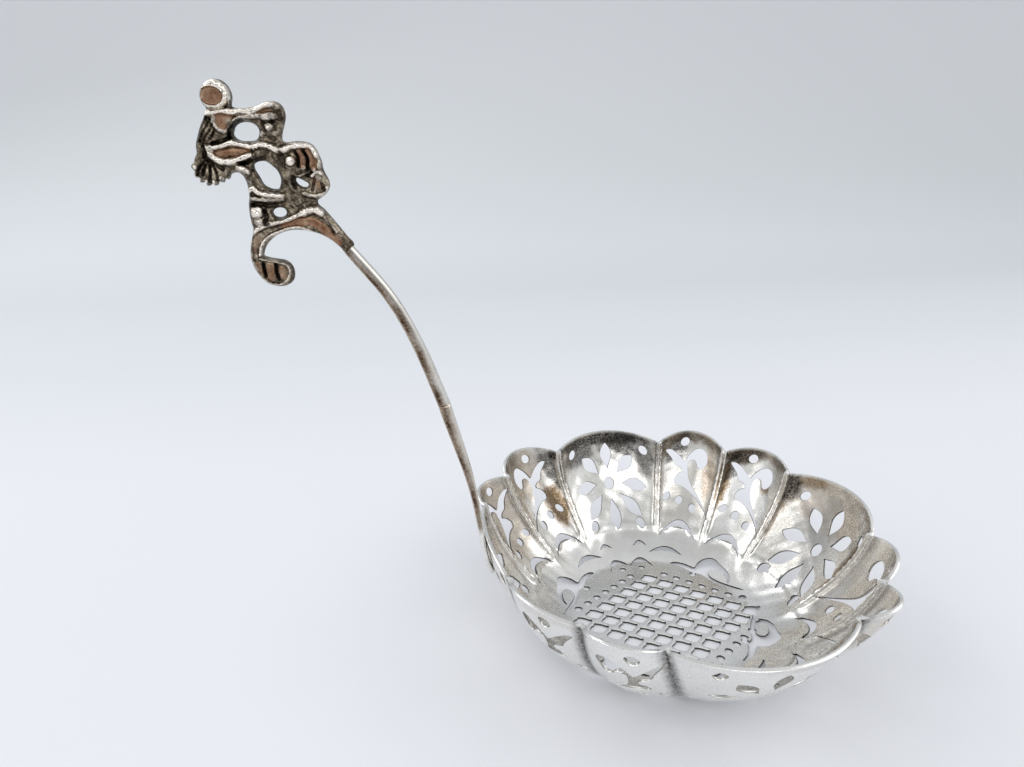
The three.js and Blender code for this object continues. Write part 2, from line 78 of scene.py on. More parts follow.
def splineThrough(points, spacing, closed=False):
    # Catmull-Rom curve through the points, read off at about even spacing
    points = np.asarray(points, float)
    if closed:
        padded = np.vstack([points[-1], points, points[0], points[1]])
    else:
        padded = np.vstack([2 * points[0] - points[1], points, 2 * points[-1] - points[-2]])
    share = np.linspace(0, 1, 16, endpoint=False)[:, None, None]
    a, b, c, d = padded[:-3], padded[1:-2], padded[2:-1], padded[3:]
    curve = 0.5 * (2 * b + (c - a) * share + (2 * a - 5 * b + 4 * c - d) * share ** 2
                   + (3 * b - a - 3 * c + d) * share ** 3)
    line = curve.transpose(1, 0, 2).reshape(-1, points.shape[1])
    line = np.vstack([line, points[:1] if closed else points[-1:]])
    along = np.concatenate([[0], np.cumsum(np.linalg.norm(np.diff(line, axis=0), axis=1))])
    count = max(6, int(round(along[-1] / spacing)))
    wanted = np.linspace(0, along[-1], count, endpoint=not closed)
    return np.stack([np.interp(wanted, along, values) for values in line.T], axis=1)


def ringLoop(radius, sides, centre):
    # points at even angles round a circle
    angle = np.arange(sides) * 2 * math.pi / sides
    return np.stack([centre[0] + radius * np.cos(angle), centre[1] + radius * np.sin(angle)], axis=1)


def turned(loop, angle, shift):
    # a loop turned about the origin, then moved
    cosine, sine = math.cos(angle), math.sin(angle)
    return loop @ np.array([[cosine, sine], [-sine, cosine]]) + np.asarray(shift)


def lineDistance(points, line, closed=False):
    # distance from each point to the nearest segment of a line
    start = np.asarray(line, float)
    end = np.roll(start, -1, axis=0)
    if not closed:
        start, end = start[:-1], end[:-1]
    best = np.full(len(points), 1e9)
    for corner, span in zip(start, end - start):
        offset = points - corner
        share = np.clip(offset @ span / max((span ** 2).sum(), 1e-12), 0, 1)
        best = np.minimum(best, np.linalg.norm(offset - share[:, None] * span, axis=1))
    return best


def insideLoop(points, loop):
    # even-odd rule over all edges of the loop at once
    x, y = points[:, :1], points[:, 1:2]
    ax, ay = loop[:, 0], loop[:, 1]
    bx, by = np.roll(ax, -1), np.roll(ay, -1)
    crosses = (ay > y) != (by > y)
    with np.errstate(divide="ignore", invalid="ignore"):
        edge = ax + (y - ay) * (bx - ax) / (by - ay)
    return (np.sum(crosses & (x < edge), axis=1) % 2).astype(bool)


def nearBox(points, loop, margin):
    # which points lie in the loop's box widened by the margin
    low, high = loop.min(axis=0) - margin, loop.max(axis=0) + margin
    return np.flatnonzero(np.all((points > low) & (points < high), axis=1))


def staggered(xs, ys, step):
    # a grid whose every second row is moved on by half a step
    x, y = np.meshgrid(xs, ys)
    x = x + step / 2 * (np.arange(len(ys)) % 2)[:, None]
    return np.stack([x.ravel(), y.ravel()], axis=1)


def clearPoints(points, outer, holes, margin):
    # those that lie inside the outer loop and outside the holes, by the margin at least
    keep = insideLoop(points, outer)
    for loop in [outer] + holes:
        near = nearBox(points, loop, margin)
        bad = lineDistance(points[near], loop, closed=True) < margin
        if loop is not outer:
            bad |= insideLoop(points[near], loop)
        keep[near[bad]] = False
    return points[keep]


def fillFlat(outer, holes, gridPoints, margin):
    # flat triangles between the outer loop and the holes, over the loops' points and the grid's
    loops = [outer] + holes
    points = np.vstack(loops + [clearPoints(gridPoints, outer, holes, margin)])
    borders = []
    start = 0
    for loop in loops:
        index = np.arange(start, start + len(loop))
        borders.append(np.stack([index, np.roll(index, -1)], axis=1))
        start += len(loop)
    corners = [Vector(point) for point in points.tolist()]
    made = delaunay_2d_cdt(corners, np.vstack(borders).tolist(), [], 0, 1e-5)
    flat = np.array([tuple(point) for point in made[0]])
    triangles = np.array([tuple(triangle) for triangle in made[2]])
    middle = flat[triangles].mean(axis=1)
    good = insideLoop(middle, outer)
    for loop in holes:
        near = nearBox(middle, loop, 0.0)
        good[near[insideLoop(middle[near], loop)]] = False
    triangles = triangles[good]
    a, b, c = flat[triangles[:, 0]], flat[triangles[:, 1]], flat[triangles[:, 2]]
    area = (b[:, 0] - a[:, 0]) * (c[:, 1] - a[:, 1]) - (b[:, 1] - a[:, 1]) * (c[:, 0] - a[:, 0])
    triangles[area < 0] = triangles[area < 0][:, ::-1]
    triangles = triangles[np.abs(area) > 1e-9]
    used = np.unique(triangles)
    renumber = np.full(len(flat), -1)
    renumber[used] = np.arange(len(used))
    return flat[used], renumber[triangles]


def openEdges(triangles):
    # directed edges that have no partner running the other way
    edges = np.vstack([triangles[:, [0, 1]], triangles[:, [1, 2]], triangles[:, [2, 0]]])
    size = triangles.max() + 1
    key = edges[:, 0] * size + edges[:, 1]
    back = edges[:, 1] * size + edges[:, 0]
    return edges[~np.isin(key, back)]


def closedSheet(front, back, triangles, wallProfile):
    # front skin, back skin and a wall round every open edge; the wall's profile is a list of
    # (share of the depth, bulge in mm away from the metal); also gives each point's place in front
    count = len(front)
    edges = openEdges(triangles)
    along = front[edges[:, 1]] - front[edges[:, 0]]
    depth = back - front
    aside = unit(np.cross(along, -depth[edges[:, 0]]))
    outward = np.zeros_like(front)
    np.add.at(outward, edges[:, 0], aside)
    np.add.at(outward, edges[:, 1], aside)
    outward = unit(outward)
    rim = np.unique(edges)
    renumber = np.zeros(count, int)
    renumber[rim] = np.arange(len(rim))
    points = [front, back]
    source = [np.arange(count), np.arange(count)]
    for share, bulge in wallProfile:
        points.append(front[rim] + depth[rim] * share + outward[rim] * bulge)
        source.append(rim)
    faces = [triangles, triangles[:, ::-1] + count]
    rows = [edges] + [renumber[edges] + 2 * count + step * len(rim) for step in range(len(wallProfile))]
    rows.append(edges + count)
    for upper, lower in zip(rows[:-1], rows[1:]):
        faces.append(np.stack([upper[:, 1], upper[:, 0], lower[:, 0]], axis=1))
        faces.append(np.stack([upper[:, 1], lower[:, 0], lower[:, 1]], axis=1))
    return np.vstack(points), np.vstack(faces), np.concatenate(source)


def makePiece(name, points, triangles, marks, sharpAngle):
    # a mesh object at the origin, with one float attribute for each entry of marks
    mesh = bpy.data.meshes.new(name)
    mesh.vertices.add(len(points))
    mesh.vertices.foreach_set("co", toFrame(points).astype(np.float32).ravel())
    mesh.loops.add(triangles.size)
    mesh.loops.foreach_set("vertex_index", triangles.astype(np.int32).ravel())
    mesh.polygons.add(len(triangles))
    mesh.polygons.foreach_set("loop_start", np.arange(0, triangles.size, 3, dtype=np.int32))
    mesh.update(calc_edges=True)
    mesh.validate()
    mesh.shade_smooth()
    mesh.set_sharp_from_angle(angle=math.radians(sharpAngle))
    for mark, values in marks.items():
        layer = mesh.attributes.new(mark, "FLOAT", "POINT")
        layer.data.foreach_set("value", np.asarray(values, np.float32))
    piece = bpy.data.objects.new(name, mesh)
    bpy.context.collection.objects.link(piece)
    print(name, len(triangles), "triangles")
    return piece


# Bowl: twelve lobes, where lobe 0 faces +X, every third one is wide, and each rib stands behind its
# lobe. Leans are in degrees off an even division, at the rib's foot and at its top. A walk is the way
# in mm from the bowl's middle, level over the floor and then along the rib's curve. rimFade and
# smoothRim are measured back from the rim, and ribFade from the floor's edge.
bowl = {
    "flatRadius": 16.0, "floorRadius": 24.6, "floorRise": 3.6, "shoulder": (33.2, 11.7),
    "rim": (35.0, 20.7), "wideSpan": 41.5, "footSwell": 0.9, "scallopWidth": 3.5,
    "swells": (2.6, 3, 3, 2.6, 4, 2.6, -0.8, 1.6, 3, 3, 3, 1.8),
    "arches": (1.9, 1.9, 2.7, 2.2, 1.7, 0.6, 1.6, 1, 1.6, 0, 1.4, 1.6),
    "footLeans": (0, 0, 0, 0, 0, 0, 0, 0, 3, 0, 0, 0),
    "topLeans": (0, 0, 0, 0, 3.5, 0, 0, 0, -5, 5.4, 0, 0),
    "floorLift": 0.38, "wallLift": 0.14, "floorSheet": 0.42, "sheet": 0.44, "rimSheet": 0.62,
    "sheetFade": (17, 27), "rimFade": (1.1, 0.3), "bottom": -0.8, "ribFade": (-0.8, 1.2),
    "ribHeight": 0.35, "ribWidth": 1.05, "lineHeight": 0.26, "linePlace": 0.42, "lineWidth": 0.24,
    "beadLength": 1.0, "beadShare": 0.35, "footHeight": 0.36, "footPlace": 0.2, "footWidth": 0.55,
    "barHeight": 0.06, "hammerDepth": 0.12, "hammerFade": (14, 24), "smoothRim": 2,
    "gridStep": 0.6, "gridRadius": 36, "floorStep": 0.8, "gridStart": 20.0, "floorGrid": 19.6,
    "ribOffsets": (0.0, 0.2, 0.3, 0.4, 0.5, 0.6, 0.8, 1.1),
    "gridMargin": 0.11, "cutProfile": ((0.15, 0.05), (0.5, 0.08), (0.85, 0.05)),
    # the cut walls' tones are painted shade on their rings, darkest by the inner skin
    "cutShadeTones": (1.0, 0.75, 0.15), "sharpAngle": 40,
}

lobeSwell = np.array(bowl["swells"], float)
lobeArch = np.array(bowl["arches"], float)
quarterTurns = np.array([bowl["wideSpan"] / 2, 45, 90 - bowl["wideSpan"] / 2])
evenTurns = np.concatenate([quarterTurns + 90 * quarter for quarter in range(4)])
ribFoot = np.radians(evenTurns + bowl["footLeans"])
ribTop = np.radians(evenTurns + bowl["topLeans"])
ribStart = np.array([bowl["floorRadius"], bowl["floorRise"]])
ribMiddle = np.array(bowl["shoulder"])
ribEnd = np.array(bowl["rim"])


def ribCurve(share):
    # the section along a rib: a quadratic curve from the floor's edge by the shoulder to the rim
    share = np.asarray(share)[..., None]
    return (1 - share) ** 2 * ribStart + 2 * share * (1 - share) * ribMiddle + share ** 2 * ribEnd


wallLength = lineLength(ribCurve(np.linspace(0, 1, 400)))
rimWalk = bowl["floorRadius"] + wallLength


def spansAt(walk):
    # turn of the middle and half the span of all twelve lobes at each distance from the bowl's middle
    climb = np.clip((np.asarray(walk, float) - bowl["floorRadius"]) / wallLength, 0, 1)[:, None]
    after = ribFoot + (ribTop - ribFoot) * climb
    before = np.roll(after, 1, axis=1)
    before[:, 0] -= 2 * math.pi
    return (before + after) / 2, (after - before) / 2


def lobeOf(walk, turn):
    # the lobe at each place, the place's share of the way from its middle to its rib, and half its span
    middle, half = spansAt(walk)
    share = ((turn[:, None] - middle + math.pi) % (2 * math.pi) - math.pi) / half
    index = np.argmin(np.abs(share), axis=1)
    rows = np.arange(len(turn))
    return index, share[rows, index], half[rows, index]


def bowlPoint(walk, turn):
    # inner surface: the floor is flat, then rises as a square; the wall follows the rib's curve,
    # pushed out by 1 - across^2 in each lobe and stretched up to the arch of the lobe's rim
    floorRadius, footSwell = bowl["floorRadius"], bowl["footSwell"]
    index, across, unused = lobeOf(walk, turn)
    crown = 1 - across ** 2
    settle = smoothstep(floorRadius - bowl["scallopWidth"], floorRadius, walk)
    rise = np.maximum(0, (walk - bowl["flatRadius"]) / (floorRadius - bowl["flatRadius"]))
    climb = np.maximum(0, (walk - floorRadius) / wallLength)
    wall = ribCurve(climb * (1 + lobeArch[index] * crown / (2 * (ribEnd[1] - ribMiddle[1]))))
    wallRadius = wall[:, 0] + crown * between(footSwell, lobeSwell[index], climb)
    onFloor = walk < floorRadius
    radius = np.where(onFloor, walk + footSwell * crown * settle, wallRadius)
    height = np.where(onFloor, bowl["floorRise"] * rise ** 2, wall[:, 1])
    return np.stack([radius * np.cos(turn), radius * np.sin(turn), height], axis=1)


def bowlInward(walk, turn):
    # normal towards the inside, from small steps round and up the surface
    step = 0.05
    walk = np.maximum(walk, 0.5)
    up = bowlPoint(walk + step, turn) - bowlPoint(walk - step, turn)
    around = bowlPoint(walk, turn + step / walk) - bowlPoint(walk, turn - step / walk)
    return unit(np.cross(up, around))


def ribDistance(walk, turn):
    # mm round the bowl from the nearest rib
    unused, across, half = lobeOf(walk, turn)
    climb = np.maximum(0, walk - bowl["floorRadius"]) / wallLength
    radius = np.where(walk < bowl["floorRadius"], walk, ribCurve(climb)[:, 0])
    return (1 - np.abs(across)) * half * radius


def flatSpot(walk, turn):
    # x and y in the flat pattern: the walk times the cosine and the sine of the turn
    return walk * np.cos(turn), walk * np.sin(turn)


def wave(x, y):
    # slow unevenness from -1 to 1: a sum of sines over the flat pattern
    slow = np.sin(0.31 * x + 0.83 * y + 1.0) + np.sin(0.71 * x - 0.42 * y + 2.1)
    slow = slow + np.sin(1.13 * x + 0.37 * y)
    return (slow + 0.7 * np.sin(1.9 * x - 1.2 * y + 0.6) + 0.7 * np.sin(1.3 * x + 2.1 * y + 4.0)) / 4.4


# Piercing: the floor's lattice runs along two slanted lines, called fall and rise after how they lie
# when the handle points left. A wide lobe has a flower, which may drift from the lobe's middle, with
# holes on both sides of it, given as radius, across and up.
piercing = {
    "cells": 7, "pitch": 3.5, "bar": 0.7, "middle": (0.8, -1.2),
    "fall": math.radians(-42.5), "rise": math.radians(30), "cornerLean": math.radians(22),
    "rowHoles": 7, "rowPitch": 2.73, "rowGap": 3.15, "rowRadius": 0.78,
    "drifts": ((0.8, -2.0), (0.4, -0.9), (0.0, 0.0), (0.0, 0.0)), "flowerHeight": 9.6, "petals": 8,
    "petalStart": 3.0, "petalEnd": 8.9, "petalWidth": 2.8, "eyeRadius": 1.25,
    "flowerHoles": ((1.1, 9.1, 17.8), (1.05, 5.6, 2.0)), "scrollHole": (-1.7, 17.9), "scrollScale": 0.96,
    "scrollPlace": (0.1, 0.4), "dots": ((-4.4, 6.6), (-1.4, 5.6), (1.8, 4.5)),
}
axes = np.array([[math.cos(piercing[name]), math.sin(piercing[name])] for name in ("fall", "rise")])
beside = np.array([[-axes[0, 1], axes[0, 0]], [axes[1, 1], -axes[1, 0]]])
skew = math.sin(piercing["rise"] - piercing["fall"])


def onBar(x, y):
    # 1 on the middle line of a lattice bar, falling to 0 at its edges
    along = (np.stack([x, y], axis=1) - piercing["middle"]) @ np.linalg.inv(axes)
    steps = along / piercing["pitch"] - 0.5
    nearest = np.round(steps)
    inside = np.abs(nearest + 0.5) < piercing["cells"] / 2 - 0.9
    reach = np.abs(along).max(axis=1) < piercing["pitch"] * piercing["cells"] / 2
    distance = np.where(inside, np.abs(steps - nearest), 9).min(axis=1) * piercing["pitch"] * skew
    return bump(distance, piercing["bar"] / 2) * reach


def bowlRelief(walk, turn):
    # height above the plain surface, towards the inside: ribs with a beaded line on each side, the
    # line at the lobes' feet, the lattice's domed bars and the unevenness of hammered sheet
    distance = ribDistance(walk, turn)
    x, y = flatSpot(walk, turn)
    onWall = smoothstep(*(bowl["floorRadius"] + np.array(bowl["ribFade"])), walk)
    bead = 1 + bowl["beadShare"] * np.sin(2 * math.pi * walk / bowl["beadLength"])
    rib = bowl["ribHeight"] * bump(distance, bowl["ribWidth"])
    line = bowl["lineHeight"] * bump(distance - bowl["linePlace"], bowl["lineWidth"]) * bead
    foot = bowl["footHeight"] * bump(walk - bowl["floorRadius"] - bowl["footPlace"], bowl["footWidth"])
    uneven = bowl["hammerDepth"] * wave(x, y) * smoothstep(*bowl["hammerFade"], walk)
    uneven = uneven * (1 - smoothstep(rimWalk - bowl["smoothRim"], rimWalk, walk))
    raised = (rib + line) * onWall + foot * (1 - bump(distance, 1.0))
    return raised + uneven + bowl["barHeight"] * onBar(x, y)


# outlines in mm: the scroll goes across and up a narrow lobe, the leaf lies about the bowl's middle
scrollLoop = [
    (-6.4, 17.5), (-5.3, 17.3), (-3.8, 16.1), (-2.5, 14.8), (-1.6, 13.9), (-1.3, 13.9),
    (-0.7, 15.1), (0.5, 16.5), (1.9, 17.2), (3.3, 16.9), (4, 15.5), (3.7, 13.9), (2.7, 12.7),
    (1.7, 12.7), (1.3, 13.5), (0.9, 14.1), (0, 14), (-0.5, 13), (-0.3, 11.2), (0.3, 9.6),
    (1.4, 8.2), (3.4, 6.3), (5.2, 4.7), (6.2, 3.4), (4.8, 4.6), (2.9, 5.9), (1.1, 7), (-0.7, 7.9),
    (-2, 8.4), (-3, 8.7), (-3.4, 9.8), (-2.7, 11), (-1.8, 11.5), (-2.4, 12.3), (-3.8, 13.1),
    (-4.6, 14.7), (-5.7, 16.3),
]
leafLoop = [
    (8.8, 15.2), (9.7, 15.4), (10.7, 15.0), (11.8, 14.2), (12.7, 13.1), (13.3, 12.5), (14.2, 13.2),
    (15.5, 13.6), (17.0, 13.3), (17.9, 12.3), (18.4, 10.4), (18.8, 8.8), (18.7, 7.2), (18.1, 6.1),
    (17.4, 5.7), (17.8, 6.9), (17.7, 8.6), (17.0, 10.0), (16.0, 10.4), (15.2, 9.6), (15.4, 8.3),
    (16.2, 7.0), (17.4, 5.4), (18.5, 4.0), (19.4, 2.5), (18.1, 3.6), (16.6, 5.2), (15.2, 7.0),
    (14.2, 9.0), (13.5, 10.3), (12.5, 11.0), (11.6, 12.2), (10.6, 13.8),
]


def crescentLoop(reach, rise, depth):
    # between two arcs of about the same reach whose heights differ by the depth, with rounded tips
    along = np.linspace(-1, 1, 15)
    upper = np.stack([reach * along, rise * (1 - along ** 2)], axis=1)
    lower = np.stack([reach * along[::-1] * 0.97, (rise - depth) * (1 - along[::-1] ** 2)], axis=1)
    return splineThrough(np.vstack([upper, lower[1:-1]]), 0.35, closed=True)


def petalLoop(start, end, width):
    # half the width times a sine over the length, drawn outwards, with a point at the far end
    along = np.linspace(0, 1, 11)
    half = width / 2 * np.sin(math.pi * along ** 1.25) ** 0.9
    x = start + (end - start) * along
    loop = np.vstack([np.stack([x, -half], axis=1), np.stack([x, half], axis=1)[::-1][1:-1]])
    return splineThrough(loop, 0.38, closed=True)


def cellLoop(half):
    # a square with rounded corners, |x|^12 + |y|^12 = 1, whose corners are turned on a little
    angle = np.arange(24) * 2 * math.pi / 24
    square = (np.abs(np.cos(angle)) ** 12 + np.abs(np.sin(angle)) ** 12) ** (-1 / 12)
    lean = piercing["cornerLean"] * (square - 1) / 0.37
    return half * np.stack([square * np.cos(angle + lean), square * np.sin(angle + lean)], axis=1)


def latticeLoops():
    # equal cells, evenly spaced along the two slanted lines
    cells, pitch = piercing["cells"], piercing["pitch"]
    cell = cellLoop((pitch - piercing["bar"] / skew) / 2)
    loops = []
    for row in range(cells):
        for column in range(cells):
            spot = np.array([column - (cells - 1) / 2, row - (cells - 1) / 2]) * pitch
            loops.append((cell + spot) @ axes + piercing["middle"])
    return loops


def rowLoops():
    # a row of round holes beside each edge of the lattice
    edge = (piercing["cells"] - 1) / 2 * piercing["pitch"]
    loops = []
    for side in (-1, 1):
        for hole in range(piercing["rowHoles"]):
            along = (hole - (piercing["rowHoles"] - 1) / 2) * piercing["rowPitch"]
            for line in (0, 1):
                away = edge * axes[1 - line] + piercing["rowGap"] * beside[line]
                spot = along * axes[line] + side * away
                loops.append(ringLoop(piercing["rowRadius"], 12, spot + piercing["middle"]))
    return loops


def cornerLoops():
    # leaf, crescents and dots beyond each corner of the lattice, mirrored into the four quarters
    corner = [
        splineThrough(leafLoop, 0.4, closed=True),
        turned(crescentLoop(2.7, 2.9, 1.2), math.radians(-14), (2.4, 15.6)),
        turned(crescentLoop(3.6, 1.8, 1.1), math.radians(-24), (8.8, 17.8)),
        ringLoop(0.75, 12, (12.0, 10.6)),
        ringLoop(0.7, 12, (2.2, 15.3)),
        turned(crescentLoop(1.6, 1.1, 0.6), math.radians(-10), (4.0, 21.0)),
    ]
    return [loop * quarter for quarter in ((1, 1), (-1, 1), (-1, -1), (1, -1)) for loop in corner]


def flowerLoops(drift):
    # petals round an eye, with two holes above and two below
    heart = (0, piercing["flowerHeight"])
    petal = petalLoop(piercing["petalStart"], piercing["petalEnd"], piercing["petalWidth"])
    loops = [ringLoop(piercing["eyeRadius"], 18, heart)]
    for leaf in range(piercing["petals"]):
        loops.append(turned(petal, 2 * math.pi * leaf / piercing["petals"], heart))
    for side in (-1, 1):
        for radius, across, up in piercing["flowerHoles"]:
            loops.append(ringLoop(radius, 16, (side * across, up)))
    return [loop + drift for loop in loops]


def scrollLoops():
    # a scroll under a hole, with three dots and a crescent at its foot
    scroll = splineThrough(scrollLoop, 0.36, closed=True) * piercing["scrollScale"] + piercing["scrollPlace"]
    loops = [ringLoop(1.05, 16, piercing["scrollHole"]), scroll]
    loops += [ringLoop(0.88, 14, spot) for spot in piercing["dots"]]
    return loops + [crescentLoop(4.1, 2.9, 1.3) + (-0.5, -0.9)]


def onLobe(lobe, loop):
    # from across and up the wall of a lobe, in mm, to the flat pattern of walk and turn; the scrolls
    # of the narrow lobes change hand from one quarter to the next
    walk = bowl["floorRadius"] + loop[:, 1]
    middle = spansAt(walk)[0][:, lobe]
    spot = bowlPoint(walk, middle)
    hand = -1 if lobe % 3 and math.sin(2 * middle[0]) < 0 else 1
    turn = middle - hand * loop[:, 0] / np.hypot(spot[:, 0], spot[:, 1])
    return np.stack(flatSpot(walk, turn), axis=1)


def piercedLoops():
    # every hole in the flat pattern of walk and turn
    loops = latticeLoops() + rowLoops() + cornerLoops()
    for lobe in range(12):
        drawn = scrollLoops() if lobe % 3 else flowerLoops(piercing["drifts"][lobe // 3])
        loops += [onLobe(lobe, loop) for loop in drawn]
    return loops


def wallGrid():
    # rings up the wall whose points crowd beside the ribs
    shares = []
    for lobe in range(12):
        span = float(spansAt([rimWalk])[1][0, lobe]) * 2 * bowl["gridRadius"]
        crowded = np.array(bowl["ribOffsets"]) / span
        count = int(round(span * (1 - 2 * crowded[-1]) / bowl["gridStep"]))
        even = np.linspace(crowded[-1], 1 - crowded[-1], count)
        shares.append(np.concatenate([crowded[:-1], even, 1 - crowded[-2:0:-1]]))
    lobes = np.repeat(np.arange(12), [len(share) for share in shares])
    shares = np.concatenate(shares)
    start = bowl["gridStart"]
    walks = np.linspace(start, rimWalk, int((rimWalk - start) / bowl["gridStep"]))
    middle, half = spansAt(walks)
    turns = middle[:, lobes] + half[:, lobes] * (2 * shares - 1)
    return np.stack(flatSpot(walks[:, None], turns), axis=2)


def floorGrid():
    # staggered points beside the lattice, and points along the middle lines of its bars
    cells, pitch, step = piercing["cells"], piercing["pitch"], bowl["floorStep"]
    span = np.arange(-21, 21, step)  # covers the floor
    floor = staggered(span, span * math.sqrt(3) / 2, step)
    reach = pitch * cells / 2
    inLattice = np.abs((floor - piercing["middle"]) @ np.linalg.inv(axes)).max(axis=1) < reach
    floor = floor[(np.hypot(floor[:, 0], floor[:, 1]) < bowl["floorGrid"]) & ~inLattice]
    betweenCells = (np.arange(1, cells) - cells / 2) * pitch
    across, along = np.meshgrid(betweenCells, np.arange(-reach, reach + 0.01, pitch / 6))
    lines = np.stack([across.ravel(), along.ravel()], axis=1)
    crossing = lines[np.abs(lines[:, 1] / pitch % 1 - 0.5) > 0.01][:, ::-1]
    return np.vstack([floor, np.vstack([lines, crossing]) @ axes + piercing["middle"]])


# Tarnish, with painted shade where a grey patch dims a reflection that is lit too brightly: lobe, share
# across (1 is the rib behind it), share of the height, half sizes of the patch in those shares, how
# dark and how brown it is.
tarnishAndShadePatches = [
    (0, 0.9, 0.84, 0.2, 0.22, 0.85, 0.5), (0, 0.6, 0.94, 0.3, 0.08, 0.3, 0.8),
    (0, 0.45, 0.3, 0.75, 0.42, 0.3, 0.1), (0, 0.1, 0.74, 0.8, 0.26, 0.0, 0.4),
    (0, 0.1, 0.96, 0.9, 0.05, 0.12, 0.4), (0, -0.86, 0.6, 0.14, 0.4, 0.3, 0.8),
    (0, 0.95, 0.62, 0.1, 0.4, 0.4, 0.6),
    (1, 0.45, 0.94, 0.6, 0.14, 0.85, 0.7), (1, -0.4, 0.97, 0.6, 0.07, 0.4, 0.5),
    (1, 0.88, 0.62, 0.2, 0.35, 0.6, 0.9), (1, -0.35, 0.66, 0.16, 0.09, 0.35, 0.8),
    (2, 0.0, 0.97, 1.3, 0.1, 0.6, 0.6), (2, -0.65, 0.6, 0.3, 0.3, 0.15, 0.6),
    (2, 0.75, 0.85, 0.2, 0.1, 0.5, 0.6), (2, 0.1, 0.35, 1.1, 0.4, 0.16, 0.1),
    (3, 0.1, 0.95, 1.2, 0.12, 0.85, 0.2), (3, -0.75, 0.75, 0.2, 0.25, 0.7, 0.1),
    (3, 0.55, 0.8, 0.4, 0.14, 0.7, 0.1), (3, 0.0, 0.3, 0.9, 0.3, 0.14, 0.0),
    (4, -0.62, 0.36, 0.4, 0.24, 0.6, 1.0), (4, 0.2, 0.75, 0.9, 0.3, 0.12, 0.5),
    (4, -0.9, 0.95, 0.2, 0.08, 0.9, 0.4),
    (5, 0.0, 0.6, 1.2, 0.6, 0.06, 0.4), (6, 0.0, 0.6, 1.2, 0.6, 0.05, 0.3),
    (7, 0.0, 0.97, 1.2, 0.08, 0.2, 0.5), (9, 0.5, 0.97, 0.8, 0.06, 0.1, 0.7),
    (10, 0.2, 0.9, 0.8, 0.2, 0.03, 0.3), (10, -0.6, 0.8, 0.26, 0.22, 0.75, 1.0),
    (11, 0.0, 0.6, 1.3, 0.7, 0.0, 0.22), (11, -0.5, 0.55, 0.3, 0.12, 0.3, 0.7),
]


def tarnishAndShadeOf(walk, turn):
    # dark and brown film from 0 to 1, tarnish with painted shade: each patch falls off from its middle,
    # with a wavy edge; it is a little darker and browner beside the ribs, a thin painted shade over the
    # floor stands in for its darker reflection, and the rim is rubbed clean
    index, across, unused = lobeOf(walk, turn)
    height = (walk - bowl["floorRadius"]) / wallLength
    x, y = flatSpot(walk, turn)
    ragged = 0.22 * wave(1.7 * x, 1.7 * y) + 0.12 * wave(4.1 * y, 3.7 * x)
    dark, brown = np.zeros(len(walk)), np.zeros(len(walk))
    for lobe, middle, level, wide, high, darkness, warmth in tarnishAndShadePatches:
        away = np.hypot((across - middle) / wide, (height - level) / high) + ragged
        amount = (1 - smoothstep(0.6, 1.15, away)) * (index == lobe)
        dark = np.maximum(dark, darkness * amount)
        brown = np.maximum(brown, warmth * amount)
    ribSides = 0.3 * bump(np.maximum(ribDistance(walk, turn) - 0.75, 0), 0.9) * smoothstep(0.1, 0.3, height)
    footFilm = 0.1 * smoothstep(19, 24, walk) * (1 - smoothstep(25, 29, walk))
    # a thin painted shade over the floor stands in for its darker reflection
    floorShade = (0.02 + 0.06 * smoothstep(15, 20, walk)) * (1 - smoothstep(26, 32, walk))
    dark = np.maximum.reduce([dark, ribSides * (0.6 + ragged), floorShade * (1 + 0.4 * ragged)])
    brown = np.maximum.reduce([brown, ribSides * (0.8 + ragged), footFilm * (0.3 + ragged)])
    kept = 1 - smoothstep(0.975, 0.995, height)
    return np.clip(dark * kept, 0, 1), np.clip(brown * kept, 0, 1)


def bowlSkins(walk, turn):
    # the inner skin with its relief, and the outer one a sheet's thickness behind it
    onWall = smoothstep(*bowl["sheetFade"], walk)
    rimStart, rimFull = rimWalk - np.array(bowl["rimFade"])
    lift = between(bowl["floorLift"], bowl["wallLift"], onWall)
    thick = between(bowl["sheet"], bowl["rimSheet"], smoothstep(rimStart, rimFull, walk))
    thick = thick + (bowl["floorSheet"] - bowl["sheet"]) * (1 - onWall)
    inward = bowlInward(walk, turn)
    plain = bowlPoint(walk, turn)
    inner = plain + inward * (bowlRelief(walk, turn) - lift)[:, None]
    outer = plain - inward * (lift + thick)[:, None]
    outer[:, 2] = np.maximum(outer[:, 2], bowl["bottom"])
    return inner, outer


